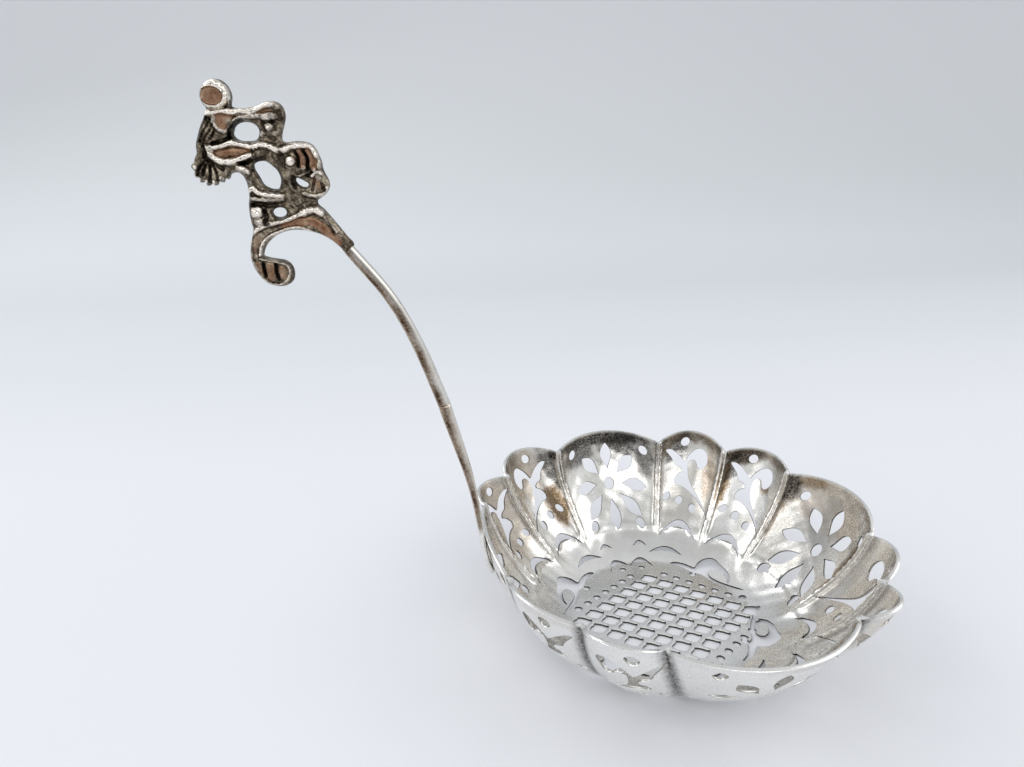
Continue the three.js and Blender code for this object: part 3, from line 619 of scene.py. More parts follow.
def bowlMarks(walk, turn, source):
    # marks of the inner skin, the outer skin and the rings of cut wall, which follow each other in
    # source: crests and the rim are rubbed bright with a painted highlight, with painted shade beside the
    # crests, and the base is worn bright; the outer skin is darker along the creases at the ribs; the cut
    # walls carry painted shade, dark above the floor and lighter in the front
    count = len(walk)
    ringSize = (len(source) - 2 * count) // len(bowl["cutShadeTones"])
    isOuter = np.repeat([0, 1, 0], [count, count, len(source) - 2 * count])
    isCut = np.repeat([0, 1], [2 * count, len(source) - 2 * count])
    depthTone = np.repeat([0, *bowl["cutShadeTones"]], [2 * count] + [ringSize] * len(bowl["cutShadeTones"]))
    dark, brown = tarnishAndShadeOf(walk, turn)
    ribGap = ribDistance(walk, turn)
    onWall = smoothstep(24, 27, walk)
    footLine = bump(walk - bowl["floorRadius"] - bowl["footPlace"], 0.4)
    # the rib lines and the foot line are rubbed bright with a painted highlight, and a line of painted shade
    # runs beside them
    crest = np.maximum(bump(ribGap - bowl["linePlace"], 1.3 * bowl["lineWidth"]) * onWall, footLine)
    shadeBesideCrest = 0.4 * bump(ribGap - 1.15, 0.4) * onWall
    filmAndShade = np.maximum(dark * (1 - 0.8 * bump(ribGap, 0.8) * onWall), shadeBesideCrest) * (1 - crest)
    x, y = flatSpot(walk, turn)
    groove = 0.9 * bump(ribGap + 0.25 * wave(2.3 * x, 2.3 * y), 1.9) * smoothstep(25, 29, walk)
    worn = np.maximum(crest, 1 - smoothstep(16, 28, walk))
    walkHere, turnHere = walk[source], turn[source]
    # painted shade on the cut walls: over the floor it covers the whole wall; up the bowl it fades from the
    # inner skin outwards, is lighter in the front and stops at the rim
    cutShadeTone = depthTone + 0.9 * (isCut - depthTone) * (1 - smoothstep(22, 26, walkHere))
    inFront = smoothstep(0.3, 0.7, -np.sin(turnHere)) * smoothstep(26, 30, walkHere)
    return {
        "dark": filmAndShade[source] * (1 - isOuter) + groove[source] * isOuter,
        "brown": brown[source] * (1 - 0.7 * isOuter) * (1 - crest[source]),
        "cut": cutShadeTone * (1 - 0.7 * inFront) * (walkHere < rimWalk - 0.05),
        # the rim is rubbed bright with a painted highlight
        "worn": np.maximum(worn[source] * (1 - isOuter), 0.45 * (walkHere > rimWalk - 0.4)),
        # the outer skin is smooth, and the material tints it toward near white as painted light
        "smooth": isOuter,
    }


def makeBowl():
    # the flat pattern of walk and turn is filled with triangles and carried to both skins
    rings = wallGrid()
    grid = np.vstack([rings[:-1].reshape(-1, 2), floorGrid()])
    flat, triangles = fillFlat(rings[-1], piercedLoops(), grid, bowl["gridMargin"])
    walk = np.hypot(flat[:, 0], flat[:, 1])
    turn = np.arctan2(flat[:, 1], flat[:, 0])
    inner, outer = bowlSkins(walk, turn)
    points, faces, source = closedSheet(inner, outer, triangles, bowl["cutProfile"])
    return makePiece("piercedBowl", points, faces, bowlMarks(walk, turn, source), bowl["sharpAngle"])


bowlPiece = makeBowl()
print("bowl made")


# Stems: places in the XZ plane, each measured from the one before it. Angles go round the rod from +Y
# by the outside to the front.
stem = {
    "outward": 1.0, "rimOutward": 1.2, "tongueStart": 36.8, "tongueHalfWidth": 2.2,
    "tongueHalfDepth": 0.5, "halfWidth": 1.05, "lowerBend": (-1.9, 11.0), "joint": (-5.9, 25.1),
    "upperBends": ((-3.5, 9.6), (-7.5, 17.6)), "upperEnd": (-13.3, 25.3), "upperHalfWidth": 1.2,
    "upperHalfDepth": 0.85, "overlap": 0.7, "squareness": 2.3, "sides": 32, "step": 0.5,
    # the line and the warm band put painted shade and a painted warm reflection along one side of each rod
    "lineAngle": math.radians(156), "lineWidth": math.radians(56),
    "warmWidths": (math.radians(105), math.radians(62)), "cleanFade": 3, "endRadii": (0.6, 0.5),
    "sharpAngle": 60,
}
rodAngle = np.arange(stem["sides"]) * 2 * math.pi / stem["sides"]


def sweptRod(path, halfWidth, halfDepth):
    # a rounded section carried along a curve in the XZ plane: half width across Y, half depth across
    # the curve, as |y/w|^n + |d/h|^n = 1; both ends are closed by a fan
    ahead = unit(np.gradient(path, axis=0))
    aside = np.stack([-ahead[:, 1], ahead[:, 0]], axis=1)
    power = 2 / stem["squareness"]
    wide = np.sign(np.cos(rodAngle)) * np.abs(np.cos(rodAngle)) ** power
    deep = np.sign(np.sin(rodAngle)) * np.abs(np.sin(rodAngle)) ** power
    depth = halfDepth[:, None] * deep
    x = path[:, :1] + aside[:, :1] * depth
    z = path[:, 1:] + aside[:, 1:] * depth
    rings = np.stack([x, halfWidth[:, None] * wide, z], axis=2)
    tips = np.insert(path[[0, -1]], 1, 0, axis=1)
    points = np.vstack([rings.reshape(-1, 3), tips])
    sides = stem["sides"]
    row = np.arange(len(path) - 1)[:, None] * sides
    here = np.arange(sides)
    after = (here + 1) % sides
    quads = np.stack([row + here, row + after, row + after + sides, row + here + sides], axis=-1)
    quads = quads.reshape(-1, 4)
    last = (len(path) - 1) * sides
    startFan = np.stack([np.full(sides, len(points) - 2), after, here], axis=1)
    endFan = np.stack([np.full(sides, len(points) - 1), last + here, last + after], axis=1)
    return points, np.vstack([quads[:, [0, 1, 2]], quads[:, [0, 2, 3]], startFan, endFan])


def roundedEnds(path, radius):
    # 1 along the rod, falling as a quarter circle within the radius of each end
    share = np.linspace(0, 1, len(path))
    reach = np.minimum(share, 1 - share) * lineLength(path)
    inside = np.clip(1 - reach / radius, 0, 1)
    return np.sqrt(np.clip(1 - inside ** 2, 0.02, 1))


def rodMarks(rows, cleanLength, which):
    # painted shade and a painted warm reflection: a dark line along one side and a warm band about it,
    # both drifting a little, past the clean length of the rod; the middles of the two ends come last
    around = np.tile((rodAngle - stem["lineAngle"] + math.pi) % (2 * math.pi) - math.pi, rows)
    along = np.repeat(np.arange(rows) * stem["step"], stem["sides"])
    drift = 0.12 * np.sin(along * 0.31) + 0.05 * np.sin(along * 1.7)
    line = bump(around + drift, stem["lineWidth"]) * (0.8 + 0.2 * np.sin(along * 0.9))
    warm = bump(around + drift + 0.25, stem["warmWidths"][which])
    kept = smoothstep(0, stem["cleanFade"], along - cleanLength)
    brown = np.maximum(0.75 * warm, line) * kept
    marks = {"dark": 0.95 * line * kept, "brown": brown, "worn": 0.9 * (1 - kept)}
    marks = {mark: np.append(values, [0, 0]) for mark, values in marks.items()}
    marks["smooth"] = np.full(len(along) + 2, 0.5)
    return marks


def makeRod(name, path, halfWidth, halfDepth, cleanLength, which):
    # which is 0 for the lower rod and 1 for the upper one
    end = roundedEnds(path, stem["endRadii"][which])
    points, triangles = sweptRod(path, halfWidth * end, halfDepth * end)
    return makePiece(name, points, triangles, rodMarks(len(path), cleanLength, which), stem["sharpAngle"])


def tongueLine():
    # middle line of the tongue, a little outside the bowl where it faces the handle
    walks = np.linspace(stem["tongueStart"], rimWalk, 4)
    turns = np.full(4, math.pi)
    out = np.linspace(stem["outward"], stem["rimOutward"], 4)[:, None]
    return (bowlPoint(walks, turns) - bowlInward(walks, turns) * out)[:, [0, 2]]


def makeLowerStem(tongue, joint):
    # the tongue's width swells as a sine, and above the rim it grows into a round rod
    path = splineThrough(np.vstack([tongue, tongue[-1] + stem["lowerBend"], joint]), stem["step"])
    tongueLength = rimWalk - stem["tongueStart"]
    share = np.linspace(0, 1, len(path))
    tongueShare = tongueLength / lineLength(path)
    swell = np.sin(math.pi * np.clip(share / tongueShare, 0, 1))
    halfWidth = between(stem["halfWidth"], stem["tongueHalfWidth"], swell)
    halfDepth = between(stem["tongueHalfDepth"], stem["halfWidth"], smoothstep(tongueShare, 1, share))
    return makeRod("stemLower", path, halfWidth, halfDepth, tongueLength, 0)


def makeUpperStem(joint):
    # starts inside the rounded top of the lower rod and runs into the casting; nowhere clean
    bends = joint + np.array(stem["upperBends"])
    ahead = (bends[0] - joint) / np.linalg.norm(bends[0] - joint)
    corners = np.vstack([joint - ahead * stem["overlap"], bends, joint + stem["upperEnd"]])
    path = splineThrough(corners, stem["step"])
    share = np.linspace(0, 1, len(path))
    halfWidth = between(stem["halfWidth"], stem["upperHalfWidth"], share)
    halfDepth = between(stem["halfWidth"], stem["upperHalfDepth"], share)
    return makeRod("stemUpper", path, halfWidth, halfDepth, -stem["cleanFade"], 1)


tongue = tongueLine()
rodJoint = tongue[-1] + stem["joint"]
lowerPiece = makeLowerStem(tongue, rodJoint)
upperPiece = makeUpperStem(rodJoint)
print("stems made")


# Finial: places in the XZ plane, in mm from the lower outer corner of the casting.
finial = {
    "plateHalf": 1.1, "edgeRound": 0.4, "grid": 0.12, "outlineStep": 0.22, "strokeStep": 0.3,
    "corner": (-75, 67), "rodEnd": (20.6, 5.4), "thinning": 0.35,
    "faceHeight": 0.16, "grooveDepth": 0.45, "grainHeight": 0.07,
    "wallProfile": ((0.2, 0.12), (0.5, 0.16), (0.8, 0.12)),
    "knob": {"centre": (5.02, 25.6), "radius": 1.86, "height": 0.75, "faceCentre": (4.7, 25.4),
             "faceHalf": (1.4, 1.12)},
    "sharpAngle": 55,
    "outline": [
        (3.2, 25.32), (3.39, 26.1), (3.85, 26.85), (4.6, 27.3), (5.5, 27.4), (6.25, 27), (6.7, 26.3),
        (6.85, 25.4), (6.73, 24.2), (7.97, 23.9), (9.31, 24.05), (10.4, 24.4), (11.11, 24.7),
        (12.08, 24.85), (12.86, 24.6), (13.29, 23.96), (13.39, 23.08), (13.07, 21.94), (12.72, 20.89),
        (12.7, 20), (13.35, 19.7), (14.25, 19.8), (15.24, 19.85), (16.3, 19.6), (16.9, 19.1),
        (17.3, 18.25), (17.6, 17.31), (17.7, 16.4), (18, 15.6), (18.35, 14.85), (18.4, 14.04),
        (17.88, 13.2), (17.07, 12.6), (16.6, 12.2), (16.7, 11.5), (17.5, 10.75), (18.4, 9.6), (19.3, 8.4),
        (20.3, 7), (21.1, 5.9), (20.1, 4.9), (19.4, 5.6), (18.5, 6.5), (17.5, 7.2), (16.3, 7.8),
        (14.7, 8.2), (13.05, 8.3), (11.4, 7.95), (10.1, 7.25), (9.16, 6.3), (8.65, 5.4), (8.5, 4.6),
        (9.3, 4.2), (10.5, 3.95), (11.43, 3.75), (12.2, 3.1), (12.45, 2.1), (12.24, 1.2), (11.62, 0.6),
        (10.54, 0.35), (9.13, 0.7), (8.15, 1.55), (7.45, 2.7), (7.05, 4), (7.05, 5.27), (7.4, 6.9),
        (7.8, 8.2), (7.65, 9.2), (7.55, 10.4), (7.6, 11.7), (7.8, 12.7), (7.8, 13.8), (7.6, 14.9),
        (7.26, 15.6), (6.75, 16.05), (6, 16.05), (5.5, 15.75), (5.25, 15.2), (4.75, 15.35), (4.5, 14.75),
        (3.95, 15), (3.6, 14.35), (3.1, 14.75), (2.6, 14.3), (2.35, 14.95), (1.75, 14.75), (1.7, 15.35),
        (1.1, 15.5), (1.25, 16.1), (0.85, 16.7), (1.3, 17.2), (1.45, 17.7), (1.81, 18.4), (1.85, 19.3),
        (2.15, 20.4), (2.65, 21.6), (3.16, 22.5), (3.6, 23.4), (3.8, 24), (3.4, 24.6),
    ],
    "holes": [
        [(6.5, 21), (6.9, 21.9), (7.7, 22.4), (8.7, 22.5), (9.65, 22.1), (10.1, 21.3), (9.95, 20.5),
         (9.4, 19.95), (8.4, 19.8), (7.4, 19.9), (6.7, 20.35)],
        [(8.7, 17.1), (9.4, 17.5), (10.4, 17.5), (11.3, 16.8), (11.9, 16.1), (12.2, 14.95), (11.85, 13.8),
         (11.3, 13.6), (10.5, 13.75), (9.65, 14.3), (9.15, 15.35), (8.65, 16.4)],
        [(13.9, 14.9), (14.15, 15.35), (14.68, 15.2), (15.25, 14.9), (15.8, 14.5), (15.65, 13.95),
         (14.93, 13.85), (14.2, 14.3)],
        [(10.4, 10.6), (10.7, 11.15), (11.45, 11.4), (12.2, 11.2), (12.5, 10.58), (12.15, 10),
         (11.41, 9.8), (10.7, 10)],
    ],
}

# edges rubbed bright and given a painted highlight: half width, how worn and high they are, points
brightEdges = [
    (0.42, 1, [(3.7, 23.3), (4.7, 23.5), (5.6, 23.7), (6.7, 23.5), (8, 23.7), (9.3, 23.6), (10.2, 24),
        (11, 24.4), (12, 24.5), (12.5, 24.2)]),
    (0.36, 0.5, [(7.1, 22.4), (7.7, 22.7), (8.7, 23), (9.8, 23.1), (10.7, 23.1), (11.7, 23.3)]),
    (0.3, 0.4, [(4.6, 22.8), (4.5, 22.1), (4.9, 21.5), (5.7, 21.1), (6.4, 21.5), (7, 22.3)]),
    (0.42, 1, [(3.2, 19), (4.1, 19.1), (5.2, 19.4), (6.4, 19.7), (7.7, 19.5), (8.9, 19.2), (10.2, 19.5),
        (11.2, 19.2), (12.3, 18.7), (13.1, 18.9), (14, 19.3), (15.1, 19.4), (16.2, 19.4), (16.8, 18.9),
        (17.1, 18.1)]),
    (0.44, 1.1, [(3.6, 18.3), (3.9, 17.9), (4.5, 17.5), (5.4, 17.3), (6.8, 17.5), (7.8, 17.9),
        (8.6, 18.1)]),
    (0.42, 0.8, [(6.9, 16.6), (7.5, 16.3), (7.9, 16)]),
    (0.36, 0.35, [(7.5, 16.3), (7.8, 15.5), (8, 14.7), (8.2, 14)]),
    (0.36, 0.95, [(7.9, 13.6), (8.4, 13.9), (8.8, 13.5), (9.3, 13.2), (10.2, 13), (11.2, 12.9),
        (12.2, 12.8)]),
    (0.3, 0.4, [(7.9, 12.6), (9, 12.4), (10.7, 12.3), (12.1, 12.3)]),
    (0.34, 0.7, [(7.7, 7.9), (8.6, 8.5), (9.8, 9), (11.2, 9.3), (12.7, 9.7), (13.9, 10.2), (14.8, 10.5)]),
    (0.5, 1.25, [(14.6, 10.5), (15.8, 11), (16.7, 10.8), (17.1, 10.5)]),
    (0.24, 0.55, [(16.8, 10.7), (17.4, 10.2), (17.9, 9.4), (18.4, 8.6), (19, 7.8)]),
    (0.22, 0.7, [(8.3, 4.8), (8.5, 5.8), (9, 6.7), (9.9, 7.5), (11.1, 8), (12.6, 8.5), (14, 8.6),
        (15.4, 8), (17.1, 7.1), (18.9, 5.9)]),
    (0.2, 0.35, [(7.5, 7.9), (7.2, 6.3), (7.2, 4.5), (7.5, 3), (8, 1.8), (9, 0.9), (10.3, 0.6),
        (11.4, 1.1), (12, 2.1), (11.9, 3.1), (11.2, 3.6), (9.8, 4), (8.2, 4.3)]),
    (0.3, 0.45, [(17.3, 18.6), (17.5, 17.5), (17.3, 16.6)]),
    (0.3, 0.8, [(16.3, 15.5), (17, 16), (17.5, 15.7)]),
    (0.3, 0.6, [(15, 13.1), (16.4, 12.8), (17.8, 13.1), (18.2, 13.9)]),
    (0.3, 0.35, [(14.5, 15.5), (15.6, 16), (16.3, 15.5)]),
]
# smooth faces, brown with tarnish and a painted warm reflection: half width, how brown they are, points
brownFaces = [
    (0.4, 1, [(4.9, 23), (6.7, 23.1)]),
    (0.55, 1, [(5.3, 22.6), (5.5, 21.7)]),
    (0.3, 0.9, [(9.6, 23.4), (11.7, 23.7)]),
    (0.5, 1, [(4.4, 18.3), (5.7, 18.5), (7.3, 18.5), (8.2, 18.7)]),
    (0.45, 0.9, [(14.8, 18.6), (15.1, 17.5), (15.2, 16.9)]),
    (0.5, 1, [(16, 18.8), (16.5, 17.8), (16.6, 16.8)]),
    (0.3, 0.5, [(16.9, 18.4), (17.2, 17.1)]),
    (0.6, 1, [(12, 9), (13.8, 9.3), (15.3, 9.4), (16.4, 9), (17.7, 7.8), (19, 6.3)]),
    (0.5, 0.7, [(16.6, 14.8), (17.2, 14.2)]),
    (0.55, 0.8, [(9.4, 3.2), (9.4, 1.7)]),
    (0.45, 0.7, [(11, 2.8), (11.1, 1.7)]),
    (0.4, 0.5, [(7.8, 3.6), (8, 2.4)]),
    (0.4, 0.35, [(8.1, 7.6), (7.7, 5.5)]),
]
# grooves: half width, how deep and dark they are, points
grooves = [
    (1, 0.5, [(12.4, 16.1), (12.8, 14.8), (13.5, 13.3), (13.7, 11.8)]),
    (0.8, 0.45, [(15.2, 12.5), (15.8, 11.9)]),
    (0.5, 0.5, [(12.4, 18.4), (12.5, 16.7)]),
    (0.5, 0.5, [(7.4, 15.7), (7.7, 14.5)]),
    (0.5, 0.4, [(10.7, 11.8), (12.4, 12)]),
    (0.6, 0.35, [(12.4, 24), (12.7, 22.4), (12.3, 20.8)]),
    (0.3, 0.8, [(16.2, 15.9), (15.7, 15.5)]),
    (0.22, 0.7, [(16.6, 15), (16.2, 13.6)]),
    (0.25, 0.6, [(17.6, 10.2), (18.7, 7.5)]),
    (0.2, 1, [(6.2, 20.3), (6.2, 21.1), (6.6, 21.7), (7.4, 22.4), (8.1, 22.6)]),
    (0.28, 1, [(4, 19.6), (5.1, 19.8), (6.2, 20.3)]),
    (0.3, 1, [(2.8, 19.2), (2.9, 18.6), (2.7, 17.9)]),
    (0.2, 0.9, [(3.1, 17.5), (2.5, 16.5), (2.2, 15.6)]),
    (0.2, 0.9, [(3.3, 17.5), (3.2, 16.2), (3, 14.8)]),
    (0.18, 0.8, [(2.9, 17.5), (1.9, 16.6), (1.5, 15.6)]),
    (0.18, 0.8, [(3.5, 17.4), (3.9, 16.2), (4, 14.9)]),
    (0.22, 0.8, [(3.6, 17.2), (4.4, 16.7), (4.9, 16.3)]),
    (0.28, 0.9, [(7, 17.1), (8, 17.2), (8.7, 17.6), (10.2, 17.8)]),
    (0.22, 1, [(14.3, 18.7), (14.7, 17.9), (14.6, 16.7)]),
    (0.22, 1, [(15.4, 18.8), (15.9, 17.8), (15.8, 16.3)]),
    (0.28, 1, [(13.8, 15.4), (13.6, 14.7), (13.9, 13.9)]),
    (0.22, 0.8, [(14.3, 15.7), (15.7, 16.2)]),
    (0.32, 0.9, [(7.9, 11.6), (9, 11.8), (10.3, 11.5), (11.1, 11.6)]),
    (0.3, 0.9, [(9.5, 10.8), (9.7, 10.1), (9.4, 9.1), (9.8, 9.1)]),
    (0.28, 0.8, [(17.5, 14.4), (17.8, 13.6)]),
    (0.22, 1, [(8.5, 3.6), (8.6, 2.6), (8.7, 1.8)]),
    (0.24, 1, [(10.2, 3.5), (10.2, 2.4), (10.4, 1.3)]),
    (0.3, 0.6, [(4.5, 23.8), (6.1, 24.1)]),
    (0.3, 0.6, [(12.9, 23.8), (13, 22.6)]),
    (0.25, 0.5, [(10.6, 20.6), (11.9, 20.2)]),
    (0.2, 0.6, [(10.5, 22.4), (11.6, 22.4), (12.5, 22.6)]),
    (0.2, 0.5, [(10.6, 22.2), (10.8, 21.3), (11.4, 21.1), (12.1, 21.6)]),
    (0.18, 0.7, [(3.7, 22.9), (3.1, 22), (2.4, 21), (2.1, 20.2)]),
    (0.16, 0.6, [(4.1, 22.6), (3.5, 21.8), (2.8, 20.8), (2.4, 19.8)]),
    (0.16, 0.6, [(4.3, 22), (3.8, 21.2), (3.2, 20.5), (2.8, 19.6)]),
    (0.16, 0.5, [(4.5, 21.4), (4.1, 20.7), (3.6, 20.1)]),
    (0.2, 0.6, [(8.1, 15), (7.8, 15.6)]),
    (0.14, 0.28, [(8.9, 19), (8.9, 18)]),
    (0.14, 0.28, [(9.3, 19), (9.4, 17.9)]),
    (0.14, 0.28, [(9.8, 19.1), (9.9, 17.9)]),
    (0.14, 0.28, [(10.3, 19.1), (10.4, 17.9)]),
    (0.14, 0.28, [(10.8, 19), (10.9, 17.8)]),
    (0.14, 0.28, [(11.3, 18.8), (11.4, 17.8)]),
    (0.2, 0.5, [(12.4, 18.6), (12.7, 17.5), (12.6, 16.4)]),
    (0.18, 0.4, [(12.4, 12.8), (12.9, 11.9), (13.4, 11.1)]),
    (0.2, 0.4, [(12.7, 14.8), (13, 13.6), (14.1, 12.8)]),
    (0.2, 0.5, [(7.6, 7.4), (7.3, 5.7), (7.4, 4.2)]),
]
# lumps: centre, radius, height, how worn they are; their wear carries a painted highlight
lumps = [
    ((8.5, 10.7), 0.95, 0.6, 1.2), ((8.6, 9.4), 0.7, 0.4, 0.7), ((13.6, 17.4), 0.75, 0.55, 1.2),
    ((7.3, 16.3), 0.6, 0.45, 0.6), ((11.1, 22.9), 0.75, 0.35, 0.6), ((11.3, 21.6), 0.75, 0.35, 0.6),
    ((12.1, 23), 0.6, 0.3, 0.6), ((12.1, 21), 0.5, 0.3, 0.45), ((10.4, 20.8), 0.5, 0.3, 0.5),
    ((3.6, 18.6), 0.55, 0.4, 0.6), ((15.3, 16.5), 0.45, 0.3, 0.5), ((16.6, 16.3), 0.45, 0.3, 0.5),
    ((17.1, 15.2), 0.5, 0.3, 0.3), ((12.7, 15.3), 0.6, 0.25, 0.2), ((14.1, 11.9), 0.6, 0.25, 0.2),
    ((15.2, 11.6), 0.5, 0.2, 0.15), ((1.2, 15.5), 0.34, 0.3, 1), ((1.7, 15.1), 0.34, 0.3, 1),
    ((2.5, 14.8), 0.34, 0.3, 1), ((3.5, 14.7), 0.34, 0.3, 1), ((4.5, 15.2), 0.34, 0.3, 0.9),
    ((1.4, 16.6), 0.4, 0.3, 0.7),
]


def placed(points):
    # places from the finial's corner, turned into places from the middle of the bowl's floor
    return np.array(points) + finial["corner"]


def strokeDistance(spots, line):
    # distance of each spot to a smooth curve through the points of a stroke
    return lineDistance(spots, splineThrough(placed(line), finial["strokeStep"]))


def addKnob(spots, lift, worn, brown, black):
    # a drum with a rounded rim, 1 - d^2 towards its edge, and a hollow face set low and to the left; the
    # rim is rubbed bright with a painted highlight, the face is brown, and a ring of painted shade lines
    # the face's edge
    knob = finial["knob"]
    away = np.linalg.norm(spots - placed(knob["centre"]), axis=1)
    toFace = np.linalg.norm((spots - placed(knob["faceCentre"])) / knob["faceHalf"], axis=1)
    form = 1 - smoothstep(0.88, 1.06, toFace)
    drum = knob["height"] - 0.5 * np.clip((away - 1.35) / 0.5, 0, 1) ** 2 - 0.5 * form
    inKnob = away < knob["radius"]
    return (np.where(inKnob, drum, lift), np.where(inKnob, 0.75 * (1 - form), worn),
            np.where(inKnob, form, brown), np.where(inKnob, 0.5 * bump(toFace - 1.0, 0.12), black))


def castRelief(spots):
    # half depth of the casting over the XZ plane with its marks: the plate carries rounded edges,
    # domed lumps, level faces and grooves; worn, brown and black run 0 to 1, where worn also holds painted
    # highlights and black also holds painted shade
    lift = np.zeros(len(spots))
    worn, brown, black = np.zeros(len(spots)), np.zeros(len(spots)), np.zeros(len(spots))
    for width, share, line in brownFaces:
        distance = strokeDistance(spots, line)
        lift = np.maximum(lift, finial["faceHeight"] * bump(distance, 1.4 * width))
        brown = np.maximum(brown, share * (1 - smoothstep(0.7 * width, 1.25 * width, distance)))
    for centre, radius, rise, share in lumps:
        distance = np.linalg.norm(spots - placed(centre), axis=1)
        dome = np.sqrt(np.clip(1 - (distance / radius) ** 2, 0, 1))
        lift = np.maximum(lift, rise * dome)
        worn = np.maximum(worn, share * dome ** 3)
        black = np.maximum(black, 0.5 * bump(distance - radius, 0.22))
    for width, share, line in brightEdges:
        distance = strokeDistance(spots, line)
        rise = 0.25 + 0.45 * share
        rubbedAndLit = bump(distance, 1.25 * width)
        lift = np.maximum(lift, rise * np.sqrt(bump(distance, 1.5 * width)))
        worn = np.maximum(worn, share * rubbedAndLit)
        brown = brown * (1 - smoothstep(0, 0.8, rubbedAndLit))
        # a line of painted shade runs just outside each bright edge
        black = np.maximum(black, 0.35 * share * bump(distance - 1.5 * width, 0.5 * width))
    for width, share, line in grooves:
        form = bump(strokeDistance(spots, line), 1.35 * width)
        lift = lift - finial["grooveDepth"] * share * form
        worn = worn * (1 - form)
        black = np.maximum(black, share * np.sqrt(form))
    lift, worn, brown, black = addKnob(spots, lift, worn, brown, black)
    return finial["plateHalf"] + lift, worn, brown, black


def makeFinial():
    # the outline is filled with triangles, both faces stand off it by the half depth, and rounded
    # walls join them; edges are rounded, and towards the rod the plate thins until it lies inside it
    step, edgeRound = finial["grid"], finial["edgeRound"]
    outline = splineThrough(placed(finial["outline"]), finial["outlineStep"], closed=True)
    holes = [splineThrough(placed(loop), finial["outlineStep"], closed=True) for loop in finial["holes"]]
    low, high = outline.min(axis=0), outline.max(axis=0)
    heights = np.arange(low[1], high[1], step * math.sqrt(3) / 2)
    grid = staggered(np.arange(low[0], high[0], step), heights, step)
    flat, triangles = fillFlat(outline, holes, grid, step * 0.4)
    height, worn, brown, black = castRelief(flat)
    toHole = np.min([lineDistance(flat, loop, closed=True) for loop in holes], axis=0)
    toBorder = np.minimum(lineDistance(flat, outline, closed=True), toHole)
    rounding = np.clip(1 - toBorder / edgeRound, 0, 1)
    height = height - edgeRound * (1 - np.sqrt(np.clip(1 - rounding ** 2, 0, 1)))
    tip = np.linalg.norm(flat - placed(finial["rodEnd"]), axis=1)
    height = height * (1 - finial["thinning"] * (1 - smoothstep(0.8, 4.0, tip)))
    x, z = flat[:, 0], flat[:, 1]
    grain = np.sin(x * 7.1 + 2 * np.sin(z * 3.3)) * np.sin(z * 8.3 + x)
    height = height + finial["grainHeight"] * grain * (1 - 0.8 * brown)
    front = np.stack([x, -height, z], axis=1)
    behind = np.stack([x, height, z], axis=1)
    points, faces, source = closedSheet(front, behind, triangles, finial["wallProfile"])
    isWall = np.repeat([0, 1], [2 * len(flat), len(source) - 2 * len(flat)])
    # painted shade blackens the walls of the holes
    inHole = 1 - smoothstep(0.1, 0.3, toHole)
    return makePiece("castFinial", points, faces, {
        "worn": np.clip(worn[source] + 0.12 * grain[source], 0, 1) * (1 - isWall),
        "brown": brown[source] * (1 - isWall),
        "black": np.maximum(black[source], 0.75 * isWall * inHole[source]),
    }, finial["sharpAngle"])


finialPiece = makeFinial()
print("finial made")


def linear(code):
    # sRGB hex to linear light
    values = [int(code[i:i + 2], 16) / 255 for i in (1, 3, 5)]
    return [v / 12.92 if v <= 0.04045 else ((v + 0.055) / 1.055) ** 2.4 for v in values] + [1.0]


def perMetre(size):
    # scale of a noise whose features are this many millimetres wide
    return 1000 / size


def addNode(tree, kind, inputs=None, stops=(), **settings):
    # one node with its settings; an input is a value or a link, written (node, output), and stops are
    # the places and colours of a ramp
    node = tree.nodes.new("ShaderNode" + kind)
    for key, value in settings.items():
        setattr(node, key, value)
    for key, value in (inputs or {}).items():
        if isinstance(value, tuple):
            tree.links.new(value[0].outputs[value[1]], node.inputs[key])
        else:
            node.inputs[key].default_value = value
    while stops and len(node.color_ramp.elements) < len(stops):
        node.color_ramp.elements.new(0.5)
    for index, (position, colour) in enumerate(stops):
        node.color_ramp.elements[index].position = position
        node.color_ramp.elements[index].color = linear(colour)
    return node


def newMaterial(name):
    material = bpy.data.materials.new(name)
    material.use_nodes = True
    material.node_tree.nodes.clear()
    return material, material.node_tree


# In a Mix node of colours, inputs 6 and 7 are the colours and output 2 is the result. In a Map Range
# node, inputs 1 to 4 are from low, from high, to low and to high. Sizes of patterns are in millimetres,
# and bumps in metres. Real scratches are finer than the specks, which are as coarse as they need to show.
sheetSilver = {
    "name": "sterlingSheetPolished", "bright": "#e6e5e2", "cloudy": "#d3d0c9", "rubbedAndLit": "#f7f6f3",
    "warm": "#a78c69", "dark": "#2b2825", "roughness": 0.17, "roughSpread": 0.14,
    "rubbedAndLitShare": 0.75, "cutShadeShare": 0.95, "hammered": 0.13, "planished": 0.03,
    "cloudSize": 3.846, "speckSize": 0.3846, "bump": 0.0001,
}
rodSilver = dict(sheetSilver, name="sterlingRodPolished", bright="#dad6cd", cloudy="#c4bbab", warm="#ab9274",
                 dark="#47352a", roughness=0.24)


